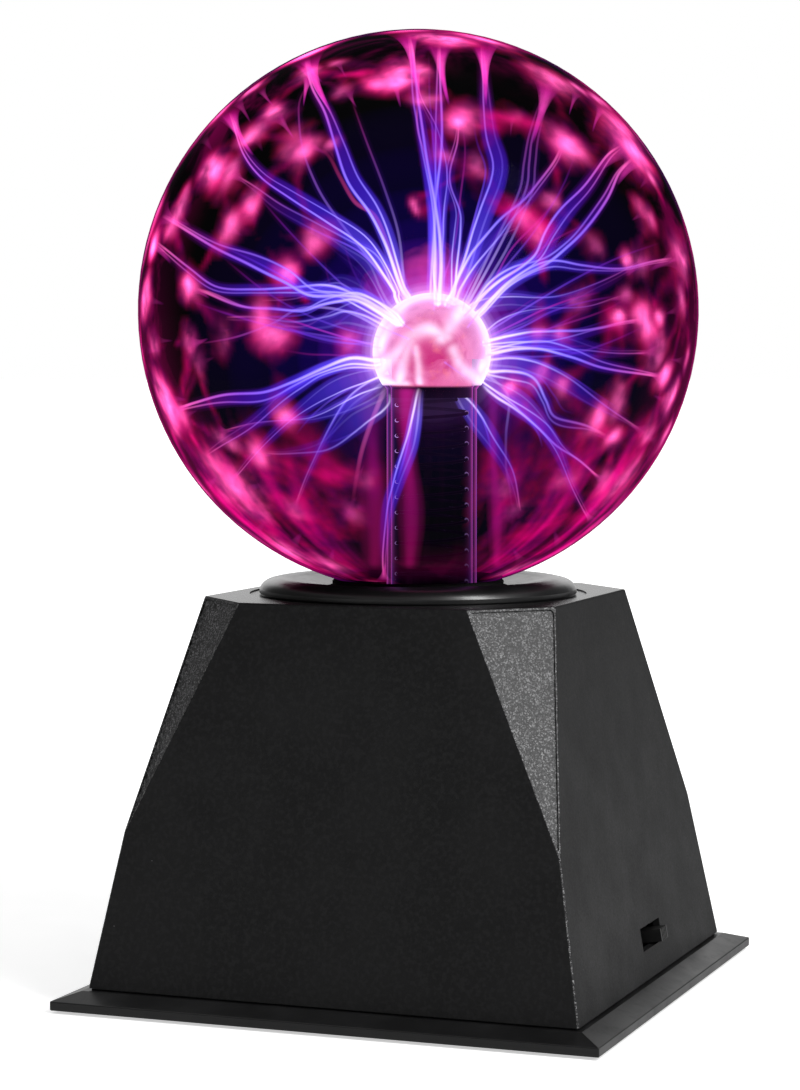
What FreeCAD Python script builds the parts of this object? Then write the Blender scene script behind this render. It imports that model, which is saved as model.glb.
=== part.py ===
# Plasma ball: a clear glass globe with a glass electrode inside, on a square black base with four cut corners.
# Millimetres, +Z up. The origin is the centre of the footprint, at the bottom of the rubber feet.
# The front of the base faces -Y, the slide switch is on the +X side and the power socket is at the back, +Y.
import FreeCAD, Part
import math
import os
import Sketcher
from FreeCAD import Placement, Rotation, Vector

os.makedirs("parts", exist_ok=True)
doc = FreeCAD.newDocument("plasma_ball")
sheet = doc.addObject("Spreadsheet::Sheet", "Sheet")
count = 0


class Dim:
    """A driving dimension: its number, and the expression that gives it from the sheet."""

    def __init__(self, value, text):
        self.v, self.e = float(value), text

    def join(self, other, sign, swap=False):
        o = other if isinstance(other, Dim) else Dim(other, "%.6f" % other)
        a, b = (o, self) if swap else (self, o)
        value = {"+": a.v + b.v, "-": a.v - b.v, "*": a.v * b.v}.get(sign)
        if sign == "/":
            value = a.v / b.v
        return Dim(value, "(%s %s %s)" % (a.e, sign, b.e))

    def __add__(self, o):
        return self.join(o, "+")

    def __radd__(self, o):
        return self.join(o, "+", True)

    def __sub__(self, o):
        return self.join(o, "-")

    def __rsub__(self, o):
        return self.join(o, "-", True)

    def __mul__(self, o):
        return self.join(o, "*")

    def __rmul__(self, o):
        return self.join(o, "*", True)

    def __truediv__(self, o):
        return self.join(o, "/")

    def __neg__(self):
        return self.join(-1.0, "*")


def cell(alias, value):
    global count
    count += 1
    sheet.set("A%d" % count, alias)
    sheet.set("B%d" % count, "%g" % value)
    sheet.setAlias("B%d" % count, alias)
    return Dim(value, "Sheet." + alias)


def num(d):
    return d.v if isinstance(d, Dim) else float(d)


# ---------------------------------------------------------------- driving dimensions
foot_stand = cell("foot_stand", 1.0)        # the feet stand this far below the plate
foot_radius = cell("foot_radius", 8.0)
foot_depth = cell("foot_depth", 2.0)        # how far the feet are let into the plate
foot_pos = cell("foot_pos", 84.0)

flange_half = cell("flange_half", 100.0)    # half the width of the square foot flange
flange_edge = cell("flange_edge", 3.2)
flange_rise = cell("flange_rise", 6.0)
flange_inner = cell("flange_inner", 91.6)   # where the flange's slope ends
floor_thick = cell("floor_thick", 3.0)

shell_bottom = cell("shell_bottom", 90.1)   # half widths of the shell
shell_top = cell("shell_top", 66.2)
shell_height = cell("shell_height", 135.9)
wall = cell("wall", 2.6)
top_wall = cell("top_wall", 3.0)
facet_cut = cell("facet_cut", 24.15)        # how much of each side the cut corner takes at the top
facet_apex = cell("facet_apex", 53.7)       # height of the facet's point above the shell's bottom edge
facet_depth = cell("facet_depth", 0.7)      # the textured panel is set back in the facet
facet_margin = cell("facet_margin", 0.6)
edge_radius = cell("edge_radius", 0.8)
shadow_gap = cell("shadow_gap", 0.7)        # the dark line between the shell and the plate

boss_pos = cell("boss_pos", 72.0)
boss_radius = cell("boss_radius", 4.2)
boss_height = cell("boss_height", 34.0)
rib_thick = cell("rib_thick", 1.8)
rib_lift = cell("rib_lift", 3.6)
pilot_radius = cell("pilot_radius", 1.25)
screw_clear = cell("screw_clear", 1.7)
head_radius = cell("head_radius", 2.8)
head_height = cell("head_height", 2.0)

seat_radius = cell("seat_radius", 61.5)     # the shallow round seat in the top of the shell
seat_depth = cell("seat_depth", 0.5)
collar_outer = cell("collar_outer", 57.9)
collar_height = cell("collar_height", 6.2)
collar_inner = cell("collar_inner", 33.0)
collar_pcd = cell("collar_pcd", 50.0)
neck_hole = cell("neck_hole", 29.2)

globe_radius = cell("globe_radius", 101.5)
globe_wall = cell("globe_wall", 2.0)
globe_centre = cell("globe_centre", 245.0)
neck_radius = cell("neck_radius", 27.0)
neck_end = cell("neck_end", 112.0)

stem_radius = cell("stem_radius", 16.4)
stem_wall = cell("stem_wall", 1.5)
stem_x = cell("stem_x", 4.68)               # the electrode stands a little off the globe's axis
stem_y = cell("stem_y", 1.77)
dome_radius = cell("dome_radius", 21.2)
dome_centre = cell("dome_centre", 230.5)
spring_radius = cell("spring_radius", 12.9)
spring_wire = cell("spring_wire", 0.6)
spring_pitch = cell("spring_pitch", 5.6)

board_x = cell("board_x", 110.0)
board_y = cell("board_y", 90.0)
board_mid = cell("board_mid", 39.0)
board_thick = cell("board_thick", 1.6)
board_lift = cell("board_lift", 8.0)

slot_low = cell("slot_low", -7.0)
slot_high = cell("slot_high", 17.2)
slot_z = cell("slot_z", 21.65)
slot_tall = cell("slot_tall", 8.1)
knob_wide = cell("knob_wide", 8.4)
knob_tall = cell("knob_tall", 4.5)
knob_out = cell("knob_out", 2.7)
knob_travel = cell("knob_travel", 14.2)

jack_wide = cell("jack_wide", 9.0)
jack_long = cell("jack_long", 14.2)
jack_tall = cell("jack_tall", 11.0)
jack_axis = cell("jack_axis", 6.5)          # height of the socket's axis above the board
jack_face = cell("jack_face", 84.2)
jack_bore = cell("jack_bore", 3.1)
jack_pin = cell("jack_pin", 1.05)
jack_root = cell("jack_root", 1.7)
jack_hole = cell("jack_hole", 5.6)
doc.recompute()

plate_z = foot_stand
shell_z = foot_stand + flange_rise          # bottom edge of the shell
top_z = shell_z + shell_height              # top face of the shell
seat_z = top_z - seat_depth
floor_z = plate_z + floor_thick             # inside face of the bottom plate
board_z = floor_z + board_lift              # underside of the circuit board
comp_z = board_z + board_thick              # the components stand on this
under_z = top_z - top_wall                  # underside of the shell's top

nodes = []


# ---------------------------------------------------------------- helpers
def bind(o, **props):
    for name, d in props.items():
        setattr(o, name, num(d))
        if isinstance(d, Dim):
            o.setExpression(name, d.e)
    return o


def at(o, x=0.0, y=0.0, z=0.0, rot=None):
    o.Placement = Placement(Vector(num(x), num(y), num(z)), rot or Rotation())
    for axis, d in (("x", x), ("y", y), ("z", z)):
        if isinstance(d, Dim):
            o.setExpression("Placement.Base." + axis, d.e)
    return o


def name_of(stem):
    global count
    count += 1
    return "%s_%03d" % (stem, count)


def box(lx, ly, lz, x=0.0, y=0.0, z=0.0, rot=None):
    return at(bind(doc.addObject("Part::Box", name_of("Box")), Length=lx, Width=ly, Height=lz), x, y, z, rot)


def cbox(lx, ly, lz, x=0.0, y=0.0, z=0.0):
    """A box centred on x and y, standing on z."""
    return box(lx, ly, lz, x - lx / 2, y - ly / 2, z)


def cyl(r, length, x=0.0, y=0.0, z=0.0, rot=None):
    return at(bind(doc.addObject("Part::Cylinder", name_of("Cyl")), Radius=r, Height=length), x, y, z, rot)


def cone(r1, r2, length, x=0.0, y=0.0, z=0.0, rot=None):
    return at(bind(doc.addObject("Part::Cone", name_of("Cone")), Radius1=r1, Radius2=r2, Height=length), x, y, z, rot)


def ball(r, x=0.0, y=0.0, z=0.0):
    return at(bind(doc.addObject("Part::Sphere", name_of("Ball")), Radius=r), x, y, z)


def frustum(half_low, half_high, height, z):
    """A square truncated pyramid on the Z axis."""
    w = doc.addObject("Part::Wedge", name_of("Wedge"))
    bind(w, Xmin=-half_low, Zmin=-half_low, Xmax=half_low, Zmax=half_low, X2min=-half_high, Z2min=-half_high, X2max=half_high, Z2max=half_high, Ymin=0.0, Ymax=height)
    return at(w, 0.0, 0.0, z, Rotation(Vector(1, 0, 0), 90))


def fuse(*parts):
    if len(parts) == 1:
        return parts[0]
    f = doc.addObject("Part::MultiFuse", name_of("Fuse"))
    f.Shapes = list(parts)
    return f


def cut(base, *tools):
    c = doc.addObject("Part::Cut", name_of("Cut"))
    c.Base, c.Tool = base, fuse(*tools)
    return c


def common(a, b):
    c = doc.addObject("Part::MultiCommon", name_of("Common"))
    c.Shapes = [a, b]
    return c


def group(*parts):
    """Several separate identical pieces in one node."""
    g = doc.addObject("Part::Compound", name_of("Group"))
    g.Links = list(parts)
    return g


def fillet(base, pick, radius):
    """Round the edges of base that pick accepts."""
    doc.recompute()
    f = doc.addObject("Part::Fillet", name_of("Fillet"))
    f.Base = base
    f.Edges = [(i + 1, num(radius), num(radius)) for i, e in enumerate(base.Shape.Edges) if pick(e)]
    return f


def node(o, label):
    o.Label = label
    nodes.append(o)
    return o


def body(label):
    b = doc.addObject("PartDesign::Body", name_of("Body"))
    b.Label = label
    return b


def sketch(b, role, lift=None):
    sk = b.newObject("Sketcher::SketchObject", name_of("Sketch"))
    sk.AttachmentSupport = [(next(o for o in b.Origin.OriginFeatures if o.Role == role), "")]
    sk.MapMode = "FlatFace"
    if lift is not None:
        sk.AttachmentOffset = Placement(Vector(0, 0, num(lift)), Rotation())
        if isinstance(lift, Dim):
            sk.setExpression("AttachmentOffset.Base.z", lift.e)
    return sk


def profile(sk, pts, arcs=None):
    """A closed profile through pts. arcs maps an edge's number to (radius, side): side 1 bulges left of the edge's direction."""
    arcs = arcs or {}
    p = [Vector(num(x), num(y), 0) for x, y in pts]
    ends = []
    for i, a in enumerate(p):
        b = p[(i + 1) % len(p)]
        if i in arcs:
            r, side = arcs[i]
            d = b - a
            rise = num(r) - math.sqrt(max(num(r) ** 2 - (d.Length / 2) ** 2, 0))
            top = (a + b) * 0.5 + Vector(-d.y, d.x, 0) * (side * rise / d.Length)
            g = sk.addGeometry(Part.Arc(a, top, b), False)
        else:
            g = sk.addGeometry(Part.LineSegment(a, b), False)
        first = 1 if (sk.getPoint(g, 1) - a).Length < (sk.getPoint(g, 2) - a).Length else 2
        ends.append((g, first, 3 - first))
    for i, (g, _, last) in enumerate(ends):
        h, first, _ = ends[(i + 1) % len(ends)]
        sk.addConstraint(Sketcher.Constraint("Coincident", g, last, h, first))
    for (g, first, _), (x, y) in zip(ends, pts):
        for kind, axis, d in (("DistanceX", -2, x), ("DistanceY", -1, y)):
            if not isinstance(d, Dim) and abs(d) < 1e-9:
                sk.addConstraint(Sketcher.Constraint("PointOnObject", g, first, axis))
                continue
            k = sk.addConstraint(Sketcher.Constraint(kind, -1, 1, g, first, num(d)))
            if isinstance(d, Dim):
                sk.setExpression("Constraints[%d]" % k, d.e)
    for i, (r, _) in arcs.items():
        k = sk.addConstraint(Sketcher.Constraint("Radius", ends[i][0], num(r)))
        if isinstance(r, Dim):
            sk.setExpression("Constraints[%d]" % k, r.e)
    return sk


def ring(sk, r, x=0.0, y=0.0):
    """A circle in a sketch, centred at x, y."""
    g = sk.addGeometry(Part.Circle(Vector(num(x), num(y), 0), Vector(0, 0, 1), num(r)), False)
    k = sk.addConstraint(Sketcher.Constraint("Radius", g, num(r)))
    if isinstance(r, Dim):
        sk.setExpression("Constraints[%d]" % k, r.e)
    for kind, axis, d in (("DistanceX", -2, x), ("DistanceY", -1, y)):
        if not isinstance(d, Dim) and abs(d) < 1e-9:
            sk.addConstraint(Sketcher.Constraint("PointOnObject", g, 3, axis))
            continue
        k = sk.addConstraint(Sketcher.Constraint(kind, -1, 1, g, 3, num(d)))
        if isinstance(d, Dim):
            sk.setExpression("Constraints[%d]" % k, d.e)
    return sk


def square(half):
    return [(-half, -half), (half, -half), (half, half), (-half, half)]


def rect(x0, y0, x1, y1):
    return [(x0, y0), (x1, y0), (x1, y1), (x0, y1)]


def pad(b, sk, length):
    f = b.newObject("PartDesign::Pad", name_of("Pad"))
    f.Profile = sk
    bind(f, Length=length)
    return f


def pocket(b, sk, length, back=False):
    """Cut along the sketch's -Z, or +Z with back, and check that something was cut."""
    doc.recompute()
    before = b.Shape.Volume
    f = b.newObject("PartDesign::Pocket", name_of("Pocket"))
    f.Profile = sk
    bind(f, Length=length)
    f.Reversed = back
    doc.recompute()
    assert b.Shape.Volume < before - 1e-3, "pocket cut nothing in " + b.Label
    return f


def turned(label, pts, arcs=None):
    """A body turned about Z from a profile in the XZ plane."""
    b = body(label)
    sk = profile(sketch(b, "XZ_Plane"), pts, arcs)
    r = b.newObject("PartDesign::Revolution", name_of("Turned"))
    r.Profile = sk
    r.ReferenceAxis = (sk, ["V_Axis"])
    r.Angle = 360.0
    return b


def route(points, ratio=0.45):
    """A wire of straight runs joined by tangent arcs through the points, and the arcs' radii."""
    p = [Vector(*q) for q in points]
    edges, radii, start = [], [], p[0]
    for i in range(1, len(p) - 1):
        a, b = (p[i - 1] - p[i]), (p[i + 1] - p[i])
        reach = ratio * min(a.Length, b.Length)
        u, v = a / a.Length, b / b.Length
        turn = math.pi - u.getAngle(v)
        radius = reach / math.tan(turn / 2)
        radii.append(round(radius, 1))
        t1, t2 = p[i] + u * reach, p[i] + v * reach
        away = (u + v)
        away = away / away.Length
        centre = p[i] + away * (radius / math.cos(turn / 2))
        mid = centre - away * radius
        edges += [Part.LineSegment(start, t1).toShape(), Part.Arc(t1, mid, t2).toShape()]
        start = t2
    edges.append(Part.LineSegment(start, p[-1]).toShape())
    return Part.Wire(edges), radii


def swept(points, radius, label):
    """A round lead along the points."""
    w, radii = route(points)
    start, along = Vector(*points[0]), Vector(*points[1]) - Vector(*points[0])
    section = Part.Wire([Part.Circle(start, along, radius).toShape()])
    s = w.makePipeShell([section], True, False)
    s = s if s.ShapeType == "Solid" else Part.Solid(s)
    ideal = math.pi * radius ** 2 * w.Length
    assert abs(s.Volume - ideal) < 0.02 * ideal, "%s: volume %g, expected %g" % (label, s.Volume, ideal)
    print(label, "length %.1f, bend radii %s" % (w.Length, radii))
    return s


# ---------------------------------------------------------------- bottom plate and feet
b = body("base_plate")
pad(b, profile(sketch(b, "XY_Plane", plate_z), square(flange_half)), flange_edge)
loft = b.newObject("PartDesign::AdditiveLoft", name_of("Loft"))
loft.Profile = profile(sketch(b, "XY_Plane", plate_z + flange_edge), square(flange_half))
loft.Sections = [profile(sketch(b, "XY_Plane", shell_z), square(flange_inner))]
loft.Ruled = True
doc.recompute()
soft = b.newObject("PartDesign::Fillet", name_of("Soft"))       # moulded edges of the flange
outline = [i + 1 for i, e in enumerate(loft.Shape.Edges)
           if all(abs(v.Point.x) > flange_half.v - 0.01 for v in e.Vertexes) or all(abs(v.Point.y) > flange_half.v - 0.01 for v in e.Vertexes)
           or all(abs(v.Point.x) > flange_inner.v - 0.01 and abs(v.Point.y) > flange_inner.v - 0.01 for v in e.Vertexes)
           and abs(e.Vertexes[0].Point.z - e.Vertexes[1].Point.z) > 0.5]
soft.Base = (loft, ["Edge%d" % i for i in outline])
bind(soft, Radius=cell("flange_round", 0.45))
doc.recompute()
assert soft.Shape.isValid() and abs(soft.Shape.Volume - loft.Shape.Volume) < 400
lip_half = shell_bottom - wall * 1.0154 - 0.35      # a tongue that locates the shell's wall
pad(b, profile(sketch(b, "XY_Plane", shell_z), square(lip_half - 0.7)), 3.0)
doc.recompute()
pocket(b, profile(sketch(b, "XY_Plane", floor_z), square(lip_half - 3.0)), 12.0, True)
tower = sketch(b, "XY_Plane", floor_z)
for sx in (-1, 1):
    for sy in (-1, 1):
        ring(tower, 6.0, boss_pos * sx, boss_pos * sy)
pad(b, tower, shell_z - floor_z)
post = sketch(b, "XY_Plane", floor_z)
board_hole_x, board_hole_y = board_x / 2 - 5.0, board_y / 2 - 6.0
for sx in (-1, 1):
    for sy in (-1, 1):
        ring(post, 3.4, board_hole_x * sx, board_mid + board_hole_y * sy)
pad(b, post, board_lift)
pilots = sketch(b, "XY_Plane", board_z)
for sx in (-1, 1):
    for sy in (-1, 1):
        ring(pilots, pilot_radius, board_hole_x * sx, board_mid + board_hole_y * sy)
pocket(b, pilots, 7.0)
for sk_radius, depth in ((screw_clear, 8.0), (head_radius + 0.5, 3.2)):
    holes = sketch(b, "XY_Plane", plate_z)
    for sx in (-1, 1):
        for sy in (-1, 1):
            ring(holes, sk_radius, boss_pos * sx, boss_pos * sy)
    pocket(b, holes, depth, True)
wells = sketch(b, "XY_Plane", plate_z)
for sx in (-1, 1):
    for sy in (-1, 1):
        ring(wells, foot_radius + 0.2, foot_pos * sx, foot_pos * sy)
pocket(b, wells, foot_depth, True)
# a row of air slots in the floor, which also let sound in
slot = profile(sketch(b, "XY_Plane", plate_z), rect(-30.0, -46.0, 30.0, -43.2))
first = pocket(b, slot, floor_thick + 1.0, True)
row = b.newObject("PartDesign::LinearPattern", name_of("Row"))
row.Originals = [first]
row.Direction = (slot, ["V_Axis"])
row.Length, row.Occurrences = 24.0, 5
b.Tip = row
node(b, "base_plate")

feet = []
for sx in (-1, 1):
    for sy in (-1, 1):
        c = fuse(cyl(foot_radius, foot_stand + foot_depth - 0.8, foot_pos * sx, foot_pos * sy, 0.8), cone(foot_radius - 0.8, foot_radius, 0.8, foot_pos * sx, foot_pos * sy, 0.0))
        feet.append(c)
node(group(*feet), "rubber_feet")


def screw(x, y, z, shank, length, head=None, tall=None, up=True):
    """A pan-head screw: the head's underside is at z, and the shank goes up, or down."""
    head, tall = head or head_radius, tall or head_height
    rot = Rotation() if up else Rotation(Vector(1, 0, 0), 180)
    k = 1 if up else -1
    parts = [cyl(shank, length, x, y, z, rot), cone(head * 0.72, head, tall, x, y, z - tall * k, rot)]
    slots = [box(head * 1.1, 0.8, 1.0, x - head * 0.55, y - 0.4, (z - tall) if up else (z + tall - 1.0)),
             box(0.8, head * 1.1, 1.0, x - 0.4, y - head * 0.55, (z - tall) if up else (z + tall - 1.0))]
    return cut(fuse(*parts), *slots)


screws = [screw(boss_pos * sx, boss_pos * sy, plate_z + 3.2, pilot_radius - 0.01, 14.0) for sx in (-1, 1) for sy in (-1, 1)]
node(group(*screws), "base_screws")

# ---------------------------------------------------------------- base shell
lean = (shell_bottom.v - shell_top.v) / shell_height.v      # how much a wall leans in, per millimetre of height
tilt = math.degrees(math.atan(lean))


def half_at(z):
    return shell_bottom.v - lean * (z - shell_z.v)


outer = frustum(shell_bottom, shell_top, shell_height, shell_z)
apex = Vector(half_at(shell_z.v + facet_apex.v), half_at(shell_z.v + facet_apex.v), shell_z.v + facet_apex.v)
edge_a = Vector(shell_top.v, shell_top.v - facet_cut.v, top_z.v)
edge_b = Vector(shell_top.v - facet_cut.v, shell_top.v, top_z.v)
middle = (edge_a + edge_b) * 0.5
facet_u = (edge_b - edge_a) / (edge_b - edge_a).Length
facet_v = (middle - apex) / (middle - apex).Length
facet_n = facet_u.cross(facet_v)
facet_rot = Rotation(facet_u, facet_v, facet_n, "ZXY")


def corner(k, local):
    """A placement in the frame of facet k, whose origin is at the facet's point."""
    return Placement(Vector(), Rotation(Vector(0, 0, 1), 90 * k)).multiply(Placement(apex, facet_rot)).multiply(local)


def corner_blocks(inset):
    out = []
    for k in range(4):
        q = box(220.0, 260.0, 60.0)
        q.Placement = corner(k, Placement(Vector(-110, -60, -inset), Rotation()))
        out.append(q)
    return out


outer_cut = cut(outer, *corner_blocks(0.0))
rounded = fillet(outer_cut, lambda e: max(v.Point.z for v in e.Vertexes) > shell_z.v + 1.0, edge_radius)

inner_low = shell_bottom - wall * 1.0154
inner_high = shell_top + top_wall * lean - wall * 1.0154
inner = cut(frustum(inner_low, inner_high, shell_height - top_wall, shell_z), *corner_blocks(wall.v + facet_depth.v))
hollow = cut(rounded, inner)

# the textured triangular panels set back in the facets
face_high = (middle - apex).Length
half_angle = math.atan((edge_b - edge_a).Length / 2 / face_high)
low_v = facet_margin.v / math.sin(half_angle)
high_v = face_high - 1.05
half_w = (high_v - low_v) * math.tan(half_angle)
panels = []
for k in range(4):
    t = body("facet_tool_%d" % k)
    sk = sketch(t, "XY_Plane", -facet_depth)
    r = 1.5                                         # rounded top corners
    lean_v = Vector(math.sin(half_angle), math.cos(half_angle), 0)
    reach = r / math.tan((math.pi / 2 - half_angle) / 2)
    pts = [(0.2, low_v + 1.0), (half_w - lean_v.x * reach, high_v - lean_v.y * reach), (half_w - reach, high_v),
           (-(half_w - reach), high_v), (-(half_w - lean_v.x * reach), high_v - lean_v.y * reach), (-0.2, low_v + 1.0)]
    profile(sk, pts, {1: (r, -1), 3: (r, -1)})
    pad(t, sk, facet_depth + 4.0)
    t.Placement = corner(k, Placement())
    panels.append(t)

# screw towers in the corners, joined to the walls by ribs
towers = []
for sx in (-1, 1):
    for sy in (-1, 1):
        towers.append(cyl(boss_radius, boss_height, boss_pos * sx, boss_pos * sy, shell_z))
        towers.append(box(26.0, rib_thick, boss_height - rib_lift, boss_pos if sx > 0 else -boss_pos - 26.0, boss_pos * sy - rib_thick / 2, shell_z + rib_lift))
        towers.append(box(rib_thick, 26.0, boss_height - rib_lift, boss_pos * sx - rib_thick / 2, boss_pos if sy > 0 else -boss_pos - 26.0, shell_z + rib_lift))
inside = frustum(shell_bottom - 1.0, shell_top - 1.0, shell_height, shell_z)
stays = common(fuse(*towers), inside)

# the switch hangs on two short posts inside the +X wall; this frame has its X along the wall's normal
switch_y = (slot_low + slot_high) / 2
switch_drop = 1.0
wall_rot = Rotation(Vector(0, 1, 0), -tilt)
wall_n = wall_rot.multVec(Vector(1, 0, 0))
wall_v = wall_rot.multVec(Vector(0, 0, 1))
switch_origin = Vector(half_at(slot_z.v), switch_y.v, slot_z.v) - wall_v * switch_drop


def on_wall(o, x=0.0, y=0.0, z=0.0):
    """Place an object in the switch's frame: x out of the wall, y along it, z up it."""
    o.Placement = Placement(switch_origin, wall_rot).multiply(Placement(Vector(num(x), num(y), num(z)), o.Placement.Rotation))
    return o


along_n = Rotation(Vector(0, 1, 0), 90)
post_y, post_long = 20.5, 3.0
posts = [on_wall(cyl(2.6, post_long + 1.0, rot=along_n), -(wall.v + post_long), s * post_y) for s in (-1, 1)]
post_pilots = [on_wall(cyl(0.9, post_long + 1.2, rot=along_n), -(wall.v + post_long) - 0.01, s * post_y) for s in (-1, 1)]

tool_list = [
    cyl(seat_radius, 5.0, 0.0, 0.0, seat_z),
    cyl(neck_hole, 12.0, 0.0, 0.0, under_z - 4.0),
    box(40.0, slot_high - slot_low, slot_tall, 70.0, slot_low, slot_z - slot_tall / 2),
    cyl(jack_hole, 30.0, 0.0, 75.0, comp_z + jack_axis, Rotation(Vector(1, 0, 0), -90)),
]
tool_list += [cyl(pilot_radius, 16.0, boss_pos * sx, boss_pos * sy, shell_z - 1.0) for sx in (-1, 1) for sy in (-1, 1)]
tool_list += [cyl(screw_clear, 12.0, collar_pcd * cx, collar_pcd * cy, under_z - 4.0) for cx, cy in ((1, 0), (-1, 0), (0, 1), (0, -1))]
# the shadow gap: the outer edge of the bottom rim is cut back a little
tool_list += [cut(box(200.0, 200.0, shadow_gap, -100.0, -100.0, shell_z), box((shell_bottom - 1.1) * 2, (shell_bottom - 1.1) * 2, shadow_gap + 1.0, -(shell_bottom - 1.1), -(shell_bottom - 1.1), shell_z - 0.5))]
tool_list += panels + post_pilots
node(cut(fuse(hollow, stays, *posts), *tool_list), "base_shell")

# ---------------------------------------------------------------- collar, gasket, neck clamp
ch = collar_height
collar = turned("collar_ring", [
    (collar_inner, seat_z), (collar_outer - 0.6, seat_z), (collar_outer, seat_z + 0.8), (collar_outer, seat_z + 2.2),
    (collar_outer - 4.2, seat_z + ch - 0.5), (collar_outer - 7.2, seat_z + ch), (collar_outer - 12.0, seat_z + ch - 0.8), (collar_inner, seat_z + ch - 3.2)],
    {3: (5.4, -1), 4: (14.0, -1), 5: (16.0, -1)})
blind = [(collar_pcd * cx, collar_pcd * cy) for cx, cy in ((1, 0), (-1, 0), (0, 1), (0, -1))]
sk = sketch(collar, "XY_Plane", seat_z)
for x, y in blind:
    ring(sk, pilot_radius, x, y)
pocket(collar, sk, 4.8, True)
node(collar, "collar_ring")

gap = 0.05
seat_ball = globe_radius + gap


def ball_z(r):
    """Height of the globe's underside, with the running gap, at radius r."""
    return num(globe_centre) - math.sqrt(num(seat_ball) ** 2 - r * r)


g_in, g_out = 29.4, 31.3
node(turned("globe_gasket", [
    (g_in, seat_z), (g_out, seat_z), (g_out, seat_z + (ball_z(g_out) - 1.1 - seat_z.v)), (g_out - 0.8, seat_z + (ball_z(g_out - 0.8) - seat_z.v)),
    (g_in + 0.2, seat_z + (ball_z(g_in + 0.2) - seat_z.v)), (g_in, seat_z + (ball_z(g_in) - 0.6 - seat_z.v))], {3: (seat_ball, 1)}), "globe_gasket")

clamp_in, clamp_out = neck_radius + 1.5, neck_radius + 4.5
clamp = turned("neck_clamp", [
    (clamp_in, 118.0), (clamp_out, 118.0), (clamp_out, under_z - 3.0), (collar_pcd + 5.0, under_z - 3.0), (collar_pcd + 5.0, under_z), (clamp_in, under_z)])
sk = sketch(clamp, "XY_Plane", under_z)
for x, y in blind:
    ring(sk, screw_clear, x, y)
pocket(clamp, sk, 5.0)
node(clamp, "neck_clamp")
node(group(*[screw(x, y, under_z - 3.0, pilot_radius - 0.01, 10.0) for x, y in blind]), "clamp_screws")
node(turned("neck_sealant", [(neck_radius, 121.0), (clamp_in, 121.0), (clamp_in, 136.0), (neck_radius, 136.0)]), "neck_sealant")

# ---------------------------------------------------------------- globe and electrode
bulb = fuse(ball(globe_radius, 0.0, 0.0, globe_centre), cyl(neck_radius, globe_centre - 60.0 - neck_end, 0.0, 0.0, neck_end))
room = fuse(ball(globe_radius - globe_wall, 0.0, 0.0, globe_centre), cyl(neck_radius - globe_wall, globe_centre - 60.0 - neck_end + 1.0, 0.0, 0.0, neck_end - 1.0))
glass = cut(bulb, room)
join_z = globe_centre.v - math.sqrt(globe_radius.v ** 2 - neck_radius.v ** 2)
neck_round = fillet(glass, lambda e: e.Closed and abs(e.BoundBox.ZMax - join_z) < 0.2 and abs(e.BoundBox.ZMin - join_z) < 0.2 and abs(e.BoundBox.XLength / 2 - neck_radius.v) < 0.2, 3.0)
node(neck_round, "globe_glass")

disc_z = neck_end - 2.0
stem_out = fuse(cyl(stem_radius, dome_centre - disc_z, stem_x, stem_y, disc_z), ball(dome_radius, stem_x, stem_y, dome_centre), cyl(neck_radius, 2.0, 0.0, 0.0, disc_z),
                cyl(2.6, 4.0, -18.6, -7.0, disc_z - 4.0), cone(0.7, 2.6, 5.0, -18.6, -7.0, disc_z - 9.0))
stem_room = fuse(cyl(stem_radius - stem_wall, dome_centre - disc_z + 1.0, stem_x, stem_y, disc_z - 1.0), ball(dome_radius - stem_wall, stem_x, stem_y, dome_centre))
node(cut(stem_out, stem_room), "electrode_stem")

wool_z = dome_centre - 16.5
wool = cut(fuse(ball(dome_radius - stem_wall - 0.3, stem_x, stem_y, dome_centre), cyl(stem_radius - stem_wall - 0.3, 10.0, stem_x, stem_y, wool_z)),
           cut(cyl(30.0, 30.0, stem_x, stem_y, wool_z - 16.0), cyl(stem_radius - stem_wall - 0.3, 40.0, stem_x, stem_y, wool_z)), cyl(30.0, 10.0, stem_x, stem_y, wool_z - 10.0))
node(wool, "electrode_wool")

plug_z = disc_z - 2.5
plug = cut(fuse(cyl(stem_radius + 1.0, 2.5, stem_x, stem_y, plug_z), cyl(stem_radius - stem_wall - 0.1, 7.0, stem_x, stem_y, disc_z)), cyl(1.5, 20.0, stem_x, stem_y, plug_z - 5.0))
node(plug, "stem_plug")
cup_z = disc_z + 7.0
node(fuse(cyl(stem_radius - stem_wall - 0.4, 1.0, stem_x, stem_y, cup_z), cyl(1.5, cup_z - (plug_z - 7.5) + 0.5, stem_x, stem_y, plug_z - 7.5), cyl(3.0, 1.6, stem_x, stem_y, plug_z - 1.6)), "electrode_terminal")

# the contact spring, a coil of springy wire from the terminal up to the wool
turns_high = num(wool_z) - num(cup_z) - 1.0 - 2 * spring_wire.v
helix = Part.makeHelix(spring_pitch.v, turns_high, spring_radius.v)
wire_round = Part.Wire([Part.Circle(Vector(spring_radius.v, 0, 0), Vector(0, 1, spring_pitch.v / (2 * math.pi * spring_radius.v)), spring_wire.v).toShape()])
coil = Part.Wire(helix).makePipeShell([wire_round], True, True)
spring = doc.addObject("Part::Feature", "ContactSpring")
spring.Shape = coil
spring.Placement = Placement(Vector(stem_x.v, stem_y.v, num(cup_z) + 1.0 + spring_wire.v), Rotation())
node(spring, "contact_spring")

# ---------------------------------------------------------------- circuit board and its components
leads = []          # every component leg that passes through the board: x, y, radius


def leg(x, y, r, top):
    leads.append((x, y, r))
    return cyl(r, top - (board_z - 1.2), x, y, board_z - 1.2)


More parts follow.
